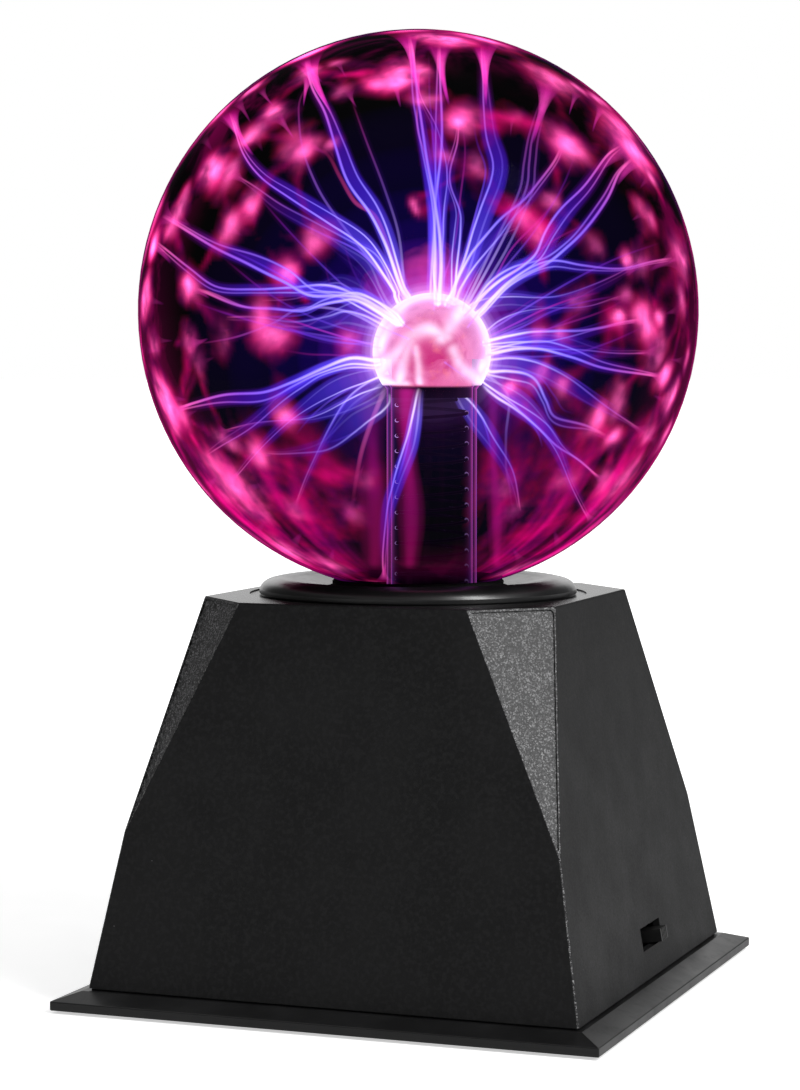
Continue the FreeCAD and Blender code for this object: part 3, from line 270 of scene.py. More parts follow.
STREAMERS = [
    ("pair", 2.4, 1.0, 8, [(-7, -3.1, 5.1), (-7.6, -3.6, 8.7), (-16.6, -8.5, 23.9), (-28.6, -14.6, 33.5), (-40.8, -20.9, 42.4), (-50, -25.9, 49.2), (-55.8, -29.6, 57.3), (-58.8, -32.4, 68.2), (-59.6, -33.4, 71.3)]),
    ("ribbon", 3.4, 0.7, 6, [(-8.7, -3.8, 4.4), (-18.6, 3.7, 18.9), (-31.1, 7.4, 25.4), (-46.8, 11.5, 32.8), (-61.3, 15.2, 39.9), (-72.8, 18.4, 47.4), (-81.1, 20.4, 52.2)]),
    ("pair", 2.6, 1.0, 9, [(-3.3, -1.7, 5.9), (-5.5, -2.9, 10.2), (-9.5, -5.8, 26), (-13.8, -8.6, 37.2), (-20.4, -12.5, 47.9), (-24.3, -15.5, 59.6), (-28, -18.6, 71.6), (-32.2, -21.7, 80.4), (-33.9, -23.9, 89.7)]),
    ("thin", 0.8, 0.5, 0, [(-4.3, -2.1, 6.6), (-11.4, 10.4, 28.1), (-20.3, 19.2, 45.6), (-31.4, 28.3, 64.9), (-40.8, 35.9, 82.2)]),
    ("thin", 1.2, 0.6, 5, [(-5.3, -2.5, 5.9), (-21.5, -1.1, 22.8), (-35.7, 0.2, 39.8), (-42.6, 1.4, 51.3), (-46.7, 2.8, 61.4), (-48.7, 4.7, 71.1), (-49.1, 6.6, 78.6), (-46.1, 10.2, 86.5)]),
    ("pink", 1.6, 0.6, 7, [(-4.6, -2.3, 8), (-17.3, 12.4, 26.8), (-24.8, 19.6, 36.5), (-34.3, 24.4, 41.7), (-43.2, 31.5, 51.6), (-51, 37.8, 60.8), (-61, 42, 65.1)]),
    ("pair", 2.8, 1.0, 8, [(-1, -15.8, -3.7), (-3.2, -16.3, -1.2), (-9.8, -18, 3.1), (-15.4, -19.6, 5.6), (-21.9, -21.5, 6.3), (-32, -24.4, 7.1), (-40.6, -27, 12.8), (-51.6, -30.5, 18.2), (-64.6, -34.8, 23.6), (-77.9, -39.4, 31.8), (-82.9, -41.1, 34.7)]),
    ("pair", 2.2, 0.7, 7, [(-12.5, -1, -2.1), (-28.4, -9.3, 7.3), (-42.6, -16.7, 8), (-54.8, -23.2, 8), (-66.9, -29.9, 8.7), (-75.8, -35.4, 15.4), (-83.4, -40.4, 22.9), (-85.7, -42.1, 25.4)]),
    ("pair", 2.2, 0.9, 5, [(-2.8, -15.1, -3.7), (-4.7, -18.3, -1.3), (-11.6, -29.1, 5), (-16.4, -35.4, 4.9), (-20.8, -41.4, 3.4), (-25.5, -48.4, 0.5), (-32.4, -58.1, 0.4), (-39.2, -67.9, 1), (-46.2, -79.2, 5.3), (-49.6, -84.9, 7.2)]),
    ("pair", 1.6, 1.0, 8, [(9.9, -7.2, 4.2), (9.7, -6.7, 22.1), (8.3, -7, 38.3), (6.3, -7.7, 52.6), (4, -8.8, 68.6), (2.7, -9.5, 76.8), (1.5, -10.4, 90.6), (0.6, -11.1, 98.2)]),
    ("pair", 1.6, 0.9, 9, [(1, 12, 3.9), (1.3, 14.1, 37.2), (1.8, 15, 59.5), (2.4, 15.5, 81.4), (2.4, 15.4, 97.4)]),
    ("ribbon", 2.2, 0.8, 5, [(3.2, 11.3, 4.6), (1, 18.2, 23.1), (-0.5, 23.5, 37.7), (-0.3, 28.2, 49.7), (-2.1, 31.1, 59.2), (-5.8, 33.6, 69.5), (-12, 35.4, 79.8), (-15.7, 37.6, 89.8)]),
    ("ribbon", 2.0, 0.7, 4, [(11.4, -6.1, 4.2), (12, -10.9, 9.8), (18.1, -31.7, 34.8), (19.4, -40.3, 44), (21.1, -49.1, 53.4), (21.7, -56.6, 60.8), (24.2, -65.3, 69.8)]),
    ("pair", 1.6, 0.9, 6, [(12.6, -2, 5), (15.7, -5.3, 8.5), (23.8, -25.8, 28.3), (26.3, -32.7, 34.6), (27.6, -42.7, 42.7), (29.9, -48.9, 48.1), (35.2, -57.6, 55.9), (38.7, -65.6, 62.7)]),
    ("ribbon", 3.4, 1.0, 9, [(13.6, -5.6, 3.5), (15.7, -5.1, 6), (20.4, -4.4, 16.7), (24, -4, 27.1), (27.3, -3.8, 35.9), (31.1, -3.6, 45.8), (32, -4.2, 53.2), (29.6, -6.2, 62.7), (28.7, -7.9, 72.9), (28.5, -9.5, 83), (28.3, -11.3, 93.8)]),
    ("thin", 0.8, 0.6, 10, [(17.9, 6, 4.4), (26.2, 15.3, 24.5), (33.1, 23.2, 44), (33.7, 26, 54.7), (34.1, 28.2, 63.6), (36.4, 31.6, 75.1), (38.6, 34.3, 84)]),
    ("thin", 0.7, 0.5, 0, [(17.2, 5.7, 5.1), (24.5, 15.7, 26.4), (30.6, 23.6, 44.1), (31.4, 26.9, 54.8), (32.3, 29.9, 64.9), (34.6, 33.5, 75.3), (37.4, 36.7, 83.5)]),
    ("thin", 0.7, 0.4, 0, [(19.2, 6.5, 3.7), (28.3, 15.9, 22.7), (35.1, 24.1, 42.9), (35.7, 27, 54), (36, 29.2, 63.3), (37.7, 32.3, 74.4), (39.5, 34.9, 83.3)]),
    ("pair", 3.0, 0.95, 7, [(14.6, -0.9, 4.3), (16.8, -4.1, 8.5), (26, -11.8, 18.6), (34.6, -18.2, 26.3), (41.4, -23.1, 32), (50.2, -28.4, 37.5), (57.5, -34, 43.6), (64.9, -40.2, 50.2), (68.7, -44.5, 54.9)]),
    ("ribbon", 3.0, 0.8, 5, [(12.8, 9.3, 3.8), (8.7, 31.9, 14.2), (7.2, 56.9, 24.4), (6.6, 72.6, 30.7), (8.4, 91.7, 35.3)]),
    ("pair", 3.4, 1.0, 11, [(20.3, 6.9, 1.5), (21.9, 6.5, 3.3), (30.5, 4.8, 10.8), (39.7, 3.5, 16), (45.7, 2.5, 20.2), (50.9, 0.2, 27.5), (57.2, -2.2, 35.5), (65, -4.7, 43.3), (73.8, -8.2, 53.4), (79.6, -9.6, 57.3)]),
    ("pair", 3.6, 0.95, 9, [(21.3, 7.2, 2.2), (22.1, 8.1, 4.1), (26.5, 12, 10.3), (32.3, 16.4, 15), (40.8, 22.3, 18.7), (46.7, 26.5, 23.5), (52.5, 31, 30.2), (59.5, 36.8, 42), (63.3, 40.5, 51.3), (67.7, 43.7, 56.8)]),
    ("pair", 1.6, 0.7, 8, [(22, 7.5, 0.1), (33.6, 4.8, 10), (48.6, 2.7, 16.6), (61.8, 1.4, 15.7), (76.3, -0.3, 14.8), (87.8, -1.9, 16.7), (96.9, -3.3, 18)]),
    ("pair", 2.6, 1.0, 6, [(-9.5, -13.9, -18.1), (-11.3, -15.2, -18.4), (-18.4, -20.7, -17.7), (-26.9, -27.5, -21.3), (-35.2, -34.5, -25.9), (-43.5, -41.5, -30.1), (-54.3, -50.5, -31.2), (-62.3, -57.5, -33.2), (-67.8, -62.4, -34.9)]),
    ("ribbon", 2.8, 0.7, 0, [(-15.9, -1.4, -19.5), (-25.9, -1.9, -18.8), (-37.1, -2.6, -21.4), (-45.4, -2.7, -26.5), (-52.2, -2.8, -31.3), (-63.8, -3, -40.3), (-76.1, -3.8, -47.8), (-83.2, -4.2, -52.7)]),
    ("ribbon", 3.0, 0.7, 4, [(-12.8, -1.2, -26.4), (-14.8, -0, -28.3), (-28.5, 4.6, -33.2), (-41.8, 8.9, -37.7), (-50.5, 11.3, -39.7), (-72.5, 16.9, -41.5), (-85.9, 20.2, -43.9)]),
    ("ribbon", 3.2, 0.8, 4, [(-10.2, -4.1, -29), (-9.7, -9.4, -32.9), (-13.2, -25.2, -38.8), (-16.7, -44, -46.2), (-19.5, -54.9, -48.4), (-23.7, -70.1, -49.4), (-26.7, -81.4, -48.8)]),
    ("ribbon", 2.2, 0.9, 5, [(6.4, -15.2, -27.4), (5.8, -15.7, -30.2), (3.8, -17.6, -47), (-0.4, -20.4, -61), (-3.1, -22.5, -71), (-3.9, -24.3, -84.9), (-3.5, -25.4, -95.2)]),
    ("thin", 1.4, 0.8, 5, [(-14.9, 4.3, -6.4), (-31.7, 7.8, 0.7), (-50, 10.4, 2), (-62.8, 12.9, -3.5), (-77.7, 15.1, -8.3), (-90.4, 16.5, -10.5), (-96.5, 17.1, -10.9)]),
    ("ribbon", 2.8, 0.8, 0, [(-9.6, -11.6, -5.8), (-15.7, -29.4, -2.1), (-19.4, -40.1, -3.6), (-23.7, -52.9, -5.1), (-26.8, -62.4, -4.9), (-31.3, -77.2, -3.3), (-35.7, -91.9, -3.2)]),
    ("pair", 2.2, 1.0, 6, [(25.8, 3.2, -11.2), (27.6, 2.3, -10.9), (42.6, -5.1, -8.8), (55.1, -11.3, -8.9), (66.1, -17, -8.6), (76.2, -22.6, -6.6), (84.5, -27.5, -4.6), (93.1, -32.4, -3.7)]),
    ("pair", 2.6, 0.9, 6, [(21.9, 14.5, -14.4), (23.1, 15.6, -14.4), (30.4, 22.5, -12.2), (38.4, 29.7, -11.8), (47.1, 37.7, -15.1), (55.6, 45.4, -19.2), (67.7, 55.7, -21.8), (73.9, 60.9, -23.3)]),
    ("pair", 1.8, 0.75, 5, [(25, 3.2, -21), (27, 2, -22), (35.7, -2.4, -22.7), (46.2, -8, -25.2), (52.9, -14.5, -31.8), (58.9, -20.7, -38), (73.6, -29.1, -40.9), (81.7, -34.2, -43.4)]),
    ("pair", 1.6, 0.8, 5, [(22.6, 7.9, -26.1), (23.6, 7.3, -26.8), (31.1, 3.5, -31), (39.8, -0.9, -35.6), (50.3, -6.6, -41.5), (58.5, -12.2, -48.1), (68, -17.7, -53.4), (76.1, -22.8, -58.4)]),
    ("ribbon", 2.8, 0.75, 0, [(6.5, 18.6, -27.6), (7.4, 20.4, -29.1), (10.5, 28.1, -36.2), (14.5, 38.4, -46.5), (17.6, 48, -57.3), (18.8, 55.3, -67), (18.9, 60.9, -75.2)]),
    ("thin", 1.4, 0.6, 5, [(24, 8.4, -23.1), (34.8, -0.7, -30.3), (39.4, -16.5, -43.5), (43.9, -29.7, -54.4), (47.5, -37, -60.4), (52.2, -47.6, -68.8)]),
    ("ribbon", 2.6, 0.6, 5, [(21.5, 13.5, -8.2), (26.3, 26.6, -3.3), (34.7, 46.1, 1.3), (44.6, 66.9, 3.1), (52.4, 83.2, 7.2)]),
    ("ribbon", 3.0, 0.7, 6, [(24, 10.6, -11.9), (34.3, 25.8, -10.4), (45, 40.8, -11.8), (55.9, 55.9, -14.3), (67.2, 70.7, -14.3)]),
    ("ribbon", 3.0, 0.6, 5, [(21.5, 14.5, -18.1), (31.2, 23.4, -18.8), (43.1, 34.6, -24.7), (55.1, 46.1, -34), (67.3, 57.5, -43.5)]),
    ("ribbon", 2.6, 0.6, 5, [(22.6, 7.9, -24.6), (34.5, 13.7, -32.6), (45.1, 18.9, -46.5), (51.7, 22.5, -63), (57.7, 25.4, -75.8)]),
    ("ribbon", 3.0, 0.6, 5, [(-15.4, 3.4, -21.7), (-31.9, 3.3, -26.5), (-48, 3.5, -35.8), (-63.7, 4.2, -49.4), (-76.3, 4.9, -62.3)]),
    ("ribbon", 3.2, 0.6, 5, [(-14.5, 3.1, -23.9), (-29.2, 8.4, -32.1), (-40.4, 14.4, -43.4), (-51.8, 22.1, -58.8), (-60.3, 28.8, -72.5)]),
    ("pink", 2.0, 0.7, 6, [(-8.9, -9.3, -26.7), (-6.9, -28.4, -38.7), (-4.4, -44.6, -48.9), (-0.6, -59.9, -58.8), (2.9, -72.4, -66.8)]),
    ("ribbon", 3.2, 0.5, 0, [(-11.5, -4.7, 0.1), (-33.2, 26.7, 16.4), (-55.9, 52.7, 28.9), (-65.7, 64.5, 35.3)]),
    ("ribbon", 3.0, 0.7, 0, [(-11.5, -4.7, 0.8), (-32.1, 13.9, 10.5), (-43.5, 22.2, 11.9), (-61.6, 36.2, 7.1), (-83.9, 51.4, 6)]),
    ("ribbon", 2.6, 0.8, 0, [(-10.9, -7.1, -2.9), (-11.5, -33.2, 1.7), (-12.3, -54.8, -0.7), (-11.9, -78.4, -5.8), (-12.2, -97.7, -6)]),
    ("ribbon", 3.2, 0.55, 6, [(19.9, 6.8, 2.2), (28.3, 20.5, 4.6), (41.2, 40.3, 4.9), (51.7, 56.6, 10.4), (62.2, 73.9, 19.7)]),
]
CLOUDS = [
    (-23.9, 39.3, 87.2, 6.5, 1, 9.9), (38.3, -65.5, 63, 3.7, 1.1, 7.5), (33.2, 67.2, 64.1, 3.8, 0.9, 5.4),
    (21, 85.5, 44.5, 5.1, 0.6, 5.5), (64.7, -69.8, 25.9, 2.7, 1, 3.4), (63.8, 65.4, 37, 4.5, 0.7, 6.1),
    (96.9, -3.3, 18, 3.2, 0.9, 5.7), (55.6, 79.1, 19.6, 3.8, 0.8, 4.6), (83.5, 18.6, 64.8, 7.3, 0.45, 9.4),
    (-7.7, 80.8, 56, 4.7, 0.5, 5.5), (37.6, -77.3, 48.2, 3.4, 0.5, 4), (-31.5, -30, 88.5, 5.8, 1, 7.9),
    (-62.8, 20.9, 73.1, 5.7, 0.8, 8.4), (-31.2, -73.7, 57.6, 5.2, 0.6, 7.6), (-46.3, -73.5, 46.7, 5.2, 0.9, 7.7),
    (-81.4, 37.2, 41.3, 4.6, 0.7, 7), (-68.2, -36, 61.5, 5.8, 0.5, 8), (-34, -88.6, 26.6, 4.8, 0.6, 7.5),
    (-77.4, 58.8, 16.6, 4.3, 1, 6.3), (0.5, -96.1, 22.1, 4.7, 0.6, 6.7), (-61.7, -70, 32, 5.6, 0.7, 7.7),
    (-93.4, -21, 23.7, 4.8, 0.8, 8.1), (-18.4, -96.8, -2, 4.7, 0.5, 6.1), (-81.4, 55.2, -6.8, 6.3, 0.7, 8.6),
    (-47.6, -86.1, 7.2, 4.5, 0.5, 7.6), (-95.8, -23, 4.7, 5.9, 0.6, 8.1), (-70.5, -61.7, -30.7, 6.4, 0.9, 9.2),
    (-91.1, -3.8, -37.5, 5.3, 0.7, 8.3), (-12.7, -91.6, -34.2, 4.4, 0.5, 6.1), (8.2, -80.4, -56.5, 3.4, 0.7, 10.2),
    (-72.5, 7.3, -66.4, 9.8, 0.8, 11.3), (-49.1, -64.8, -55.8, 7.7, 0.5, 9.1), (-48.7, -2.7, -85.7, 8.9, 0.7, 9.6),
    (60.8, -72.5, -27.7, 3, 0.8, 4), (15, 94.5, -23.9, 4.7, 0.7, 7.1), (73.2, -59.9, -27.8, 4, 0.5, 5.4),
    (40.8, 80, -40.7, 5.4, 0.6, 7.7), (93.5, -4.3, -31, 4.9, 0.8, 7.8), (23.7, 95.5, -6.8, 3.5, 0.6, 5.5),
    (88, -44.1, -5.5, 3.1, 0.8, 4.1), (30.3, 93.6, 6, 4.7, 0.5, 7), (66.1, 73, -4.1, 3.8, 0.7, 5.3),
    (69.3, -42.7, -55.7, 4.8, 0.5, 7.6), (6, 75, -63.7, 5.4, 0.6, 10.1), (-31.6, 83.9, 41.1, 2.4, 0.6, 7.9),
    (-57.8, 79.5, -7.8, 4.8, 0.5, 8.7), (-40.8, 35.9, 82.2, 4.6, 0.5, 5.4), (-55.3, 51.5, 63.3, 3.9, 0.5, 8.5),
    (-11.2, -84.3, 50, 4.4, 0.5, 6.8), (64.6, 15.4, -75.2, 8.7, 0.7, 9.4), (50.9, 10.7, -84.3, 8, 0.8, 8.7),
    (63.9, 42.7, -61.7, 8.2, 0.6, 9.7), (42.1, -8.7, -88.7, 6.4, 0.7, 8.6), (-18.4, -40.1, -88.2, 6.4, 0.7, 7.8),
    (-83.1, 23.1, -47.8, 4.6, 0.5, 7.6), (87.2, -6.7, 45.5, 4.2, 0.5, 6.4), (80.8, 56.5, 1.2, 5.2, 0.5, 7.5),
    (96.9, 5.3, -17.3, 4.3, 0.6, 7.1), (79.4, 35.4, -46.6, 5.1, 0.6, 8.1), (-88.9, -42.6, -13.7, 5.1, 0.6, 8),
    (-97.2, -13.3, -9.9, 4.5, 0.5, 8.2), (-94.7, 21.3, -17.3, 5, 0.4, 7.7), (-35.8, -91.6, -7.2, 3.4, 0.4, 6.1),
    (-74, -37.7, -67.9, 6.5, 0.7, 8), (-54.1, -29.1, -82.5, 7.3, 0.7, 8), (14.3, 63.8, 73.8, 3.8, 0.35, 6.1),
    (68.4, 0.6, 71, 5, 0.6, 7.2), (49.7, 31, 79.4, 4.4, 0.6, 6.7), (-57.5, -32.7, 75.7, 5.1, 0.5, 7.3),
    (-42, -45.1, 77, 4.3, 0.6, 6.4), (-35.5, 12.5, 91.1, 3.7, 0.3, 5.2), (38.3, 87.4, 25, 4.7, 0.35, 5.4),
    (69.3, -69.8, -7.4, 3, 0.5, 4), (50, 78.5, -32.6, 5.4, 0.4, 7.7),
]


# ---------------------------------------------------------------- the gas's shapes
def spline(points, count):
    """A smooth line through the points, evenly walked. Points are in millimetres from the globe's centre."""
    p = np.array(points, float)
    p = np.vstack([2 * p[0] - p[1], p, 2 * p[-1] - p[-2]])
    out = []
    for i in range(1, len(p) - 2):
        a, b, c, d = p[i - 1], p[i], p[i + 1], p[i + 2]
        for t in np.linspace(0, 1, 16, endpoint=False):
            out.append(0.5 * (2 * b + (c - a) * t + (2 * a - 5 * b + 4 * c - d) * t * t + (3 * b - a - 3 * c + d) * t ** 3))
    out.append(p[-2])
    out = np.array(out)
    s = np.concatenate([[0], np.cumsum(np.linalg.norm(np.diff(out, axis=0), axis=1))])
    w = np.linspace(0, s[-1], count)
    return np.stack([np.interp(w, s, out[:, k]) for k in range(3)], 1), s[-1]


def frames(p, first=None):
    """Tangent and two cross directions along a line, turned as little as possible."""
    t = np.gradient(p, axis=0)
    t /= np.linalg.norm(t, axis=1)[:, None]
    a = np.array(first if first is not None else (0.3, 0.9, 0.2), float)
    a = np.cross(t[0], a)
    a /= np.linalg.norm(a)
    us = []
    for i in range(len(p)):
        a = a - t[i] * (a @ t[i])
        a /= np.linalg.norm(a)
        us.append(a.copy())
    us = np.array(us)
    return t, us, np.cross(t, us)


class Gas:
    """A mesh under construction with a glow colour and density at every vertex."""

    def __init__(self):
        self.v, self.f, self.c, self.w = [], [], [], []
        self.n = 0

    def add(self, verts, faces, colors, flow=None):
        self.v.append(np.asarray(verts, float))
        self.c.append(np.asarray(colors, float))
        self.w.append(np.zeros((len(verts), 3)) if flow is None else flow)
        self.f += [tuple(i + self.n for i in f) for f in faces]
        self.n += len(verts)

    def tube(self, p, u, w, ra, rb, colors, sides=8, lobes=None, seed=0.0):
        """A closed tube on line p with half widths ra along u and rb along w."""
        k = len(p)
        ang = np.arange(sides) * 2 * math.pi / sides
        ra = np.broadcast_to(ra, (k,))
        rb = np.broadcast_to(rb, (k,))
        swell = np.ones((k, sides)) if lobes is None else lobes(ang, k)
        ring = (u[:, None, :] * (np.cos(ang)[None, :, None] * ra[:, None, None]) + w[:, None, :] * (np.sin(ang)[None, :, None] * rb[:, None, None]))
        verts = (p[:, None, :] + ring * swell[:, :, None]).reshape(-1, 3)
        faces = []
        for i in range(k - 1):
            for j in range(sides):
                a, b = i * sides + j, i * sides + (j + 1) % sides
                faces.append((a, b, b + sides, a + sides))
        cols = np.repeat(np.asarray(colors, float), sides, axis=0)
        run = np.concatenate([[0], np.cumsum(np.linalg.norm(np.diff(p, axis=0), axis=1))])
        flow = np.stack([np.cos(ang)[None, :] * ra[:, None], np.broadcast_to(run[:, None] * 0.05, (k, sides)), np.full((k, sides), seed)], 2).reshape(-1, 3)
        flow = np.vstack([flow, flow[0], flow[-1]])
        verts = np.vstack([verts, p[0], p[-1]])
        cols = np.vstack([cols, colors[0], colors[-1]])
        s, e = k * sides, k * sides + 1
        for j in range(sides):
            faces.append((s, (j + 1) % sides, j))
            faces.append((e, (k - 1) * sides + j, (k - 1) * sides + (j + 1) % sides))
        self.add(verts, faces, cols, flow)

    def build(self, name, mat):
        v = np.vstack(self.v)
        far = np.linalg.norm(v, axis=1)
        v *= np.minimum(1.0, 101.2 / np.maximum(far, 1.0))[:, None]
        c = np.vstack(self.c)
        me = bpy.data.meshes.new(name)
        me.from_pydata(((v + CENTRE) * MM).tolist(), [], self.f)
        me.update()
        a = me.color_attributes.new("glow", "FLOAT_COLOR", "POINT")
        a.data.foreach_set("color", c.astype(np.float32).ravel())
        a = me.attributes.new("flow", "FLOAT_VECTOR", "POINT")
        a.data.foreach_set("vector", np.vstack(self.w).astype(np.float32).ravel())
        me.polygons.foreach_set("use_smooth", [True] * len(me.polygons))
        o = bpy.data.objects.new(name, me)
        bpy.context.scene.collection.objects.link(o)
        me.materials.append(mat)
        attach(o, "base")
        o.visible_diffuse = False
        o.visible_glossy = False
        o.visible_shadow = False
        return o


def gas(name, power, thin=1.0, limb=0.0, grain=0.0, grain_scale=300.0, grain_stretch=(1, 1, 1), fibres=0.0, hollow=False):
    """Glowing gas: its colour and density come from the vertices. thin is how its middle outweighs its edges, as in a
    round thread of gas, limb how a thin layer's edge outweighs its middle, and hollow a soft ring with a clear middle."""
    n = Net(name)
    glow = n.node("Attribute", attribute_name="glow")
    side = n.node("LayerWeight", {"Blend": 0.5}).outputs["Facing"]
    fac = glow.outputs["Alpha"]
    if thin:
        fac = n.math("MULTIPLY", fac, n.math("POWER", n.math("SUBTRACT", 1.0, side), thin))
    if hollow:
        ring = n.math("MULTIPLY", side, n.math("SUBTRACT", 1.0, side))
        fac = n.math("MULTIPLY", fac, n.math("MULTIPLY", n.math("MULTIPLY", ring, ring), 16.0))
    if limb:
        fac = n.math("MULTIPLY", fac, n.math("ADD", 1.0, n.math("MULTIPLY", n.math("POWER", side, 3.0), limb)))
    if grain:
        g = n.noise(grain_scale, 4.0, 0.6, n.coords(grain_stretch))
        fac = n.math("MULTIPLY", fac, n.ramp(g, 0.3, 0.7, 1.0 - grain, 1.0 + grain))
    if fibres:
        flow = n.node("Attribute", attribute_name="flow").outputs["Vector"]
        g = n.noise(1.25, 3.0, 0.6, flow)
        fac = n.math("MULTIPLY", fac, n.ramp(g, 0.36, 0.66, 1.0 - fibres, 1.0 + fibres))
    fac = n.math("MULTIPLY", fac, 1.0, clamp=True)
    light = n.node("Emission", {"Color": glow.outputs["Color"], "Strength": power * GAIN})
    clear = n.node("BsdfTransparent")
    m = n.node("MixShader", {0: fac, 1: clear.outputs[0], 2: light.outputs[0]})
    n.mat.cycles.emission_sampling = "NONE"
    return n.surface(m.outputs[0])


def blend_colors(s, stops):
    """Colour and density along a thread: stops are (place, r, g, b, density)."""
    s = np.asarray(s, float)
    st = np.array(stops, float)
    return np.stack([np.interp(s, st[:, 0], st[:, k]) for k in range(1, 5)], 1)


LINE = [(0.0, 1.6, 1.4, 1.9, 0.66), (0.12, 1.2, 1.0, 1.8, 0.60), (0.3, 0.62, 0.50, 1.7, 0.46), (0.5, 0.32, 0.22, 1.5, 0.38), (0.7, 0.42, 0.10, 1.1, 0.32), (0.85, 0.85, 0.12, 0.8, 0.34), (0.95, 1.5, 0.2, 0.7, 0.34), (1.0, 1.2, 0.10, 0.40, 0.0)]
CORE = [(0.0, 1.9, 1.8, 1.9, 0.8), (0.15, 1.7, 1.5, 1.9, 0.66), (0.35, 1.0, 0.85, 1.8, 0.36), (0.6, 0.6, 0.42, 1.5, 0.16), (0.85, 0.9, 0.3, 1.0, 0.15), (1.0, 1.2, 0.2, 0.7, 0.0)]
THIN = [(0.0, 1.1, 0.9, 1.2, 0.6), (0.2, 0.6, 0.45, 1.1, 0.42), (0.5, 0.34, 0.16, 0.9, 0.30), (0.8, 0.55, 0.06, 0.5, 0.26), (1.0, 0.7, 0.03, 0.25, 0.0)]
PINK = [(0.0, 1.3, 0.6, 1.1, 0.6), (0.25, 1.1, 0.25, 0.85, 0.42), (0.6, 1.2, 0.10, 0.5, 0.36), (1.0, 1.2, 0.05, 0.3, 0.0)]
VEIL = [(0.0, 0.75, 0.5, 1.7, 0.12), (0.10, 0.45, 0.32, 1.7, 0.16), (0.25, 0.16, 0.11, 1.35, 0.19), (0.45, 0.07, 0.03, 1.0, 0.18), (0.7, 0.08, 0.008, 0.6, 0.14), (0.9, 0.4, 0.01, 0.4, 0.07), (1.0, 0.6, 0.02, 0.4, 0.0)]
HALO = [(0.0, 0.9, 0.25, 2.4, 0.035), (0.2, 0.35, 0.10, 2.2, 0.045), (0.5, 0.2, 0.03, 1.5, 0.045), (0.8, 0.4, 0.01, 0.8, 0.035), (1.0, 0.8, 0.0, 0.4, 0.0)]

rng = np.random.RandomState(7)
lines, cores, veils, halos, flares = Gas(), Gas(), Gas(), Gas(), Gas()
TO_EYE = np.array([0.354, -0.933, 0.06])


def flare(at, size, gain, tail, toward=None, seed=0):
    """A trumpet of pink gas with its mouth on the glass and its thin end pointing back at the electrode."""
    r = np.random.RandomState(seed)
    at = np.asarray(at, float)
    out = at / np.linalg.norm(at)
    if out[2] < 0.72:
        size, gain, tail = size * 1.3, gain * 0.38, tail * 0.6
    back = (DOME / MM - CENTRE) - at if toward is None else np.asarray(toward, float) - at
    back /= np.linalg.norm(back)
    side = np.cross(out, (0.2, 0.3, 0.93))
    side /= np.linalg.norm(side)
    bend = (side * r.uniform(-0.35, 0.35) + np.cross(out, side) * r.uniform(-0.35, 0.35)) * tail
    base = out * 100.6
    k = 18
    s = np.linspace(0, 1, k)
    path = base[None, :] + back[None, :] * (tail * 1.7 * (1 - s)[:, None]) + bend[None, :] * ((1 - s) ** 2)[:, None]
    t, u, w = frames(path, out + 0.01)
    rad = size * (0.08 + 0.22 * s + 0.85 * s ** 5.0)
    rad[-1] = size * 1.3
    n = r.randint(3, 6)
    ph = r.uniform(0, 6.28, 3)
    deep = r.uniform(0.15, 0.4)

    def lobes(ang, count):
        g = (np.linspace(0, 1, count) ** 3)[:, None]
        return 1 + g * (deep * np.cos(n * ang + ph[0]) + 0.18 * np.cos((n + 3) * ang + ph[1]) + 0.25 * np.cos(ang + ph[2]))[None, :]

    d = np.interp(s, [0, 0.2, 0.5, 0.75, 0.92, 1.0], [0.0, 0.22, 0.36, 0.30, 0.10, 0.0]) * gain
    red = np.interp(s, [0, 0.4, 0.8, 1], [1.0, 2.1, 2.3, 1.7])
    gre = np.interp(s, [0, 0.4, 0.65, 0.9], [0.03, 0.10, 0.16, 0.0])
    blu = np.interp(s, [0, 0.4, 0.8, 1], [1.0, 1.1, 1.1, 0.35])
    col = np.stack([red, gre, blu, np.clip(d, 0, 1)], 1)
    flares.tube(path, u, w, rad, rad, col, 14, lobes)


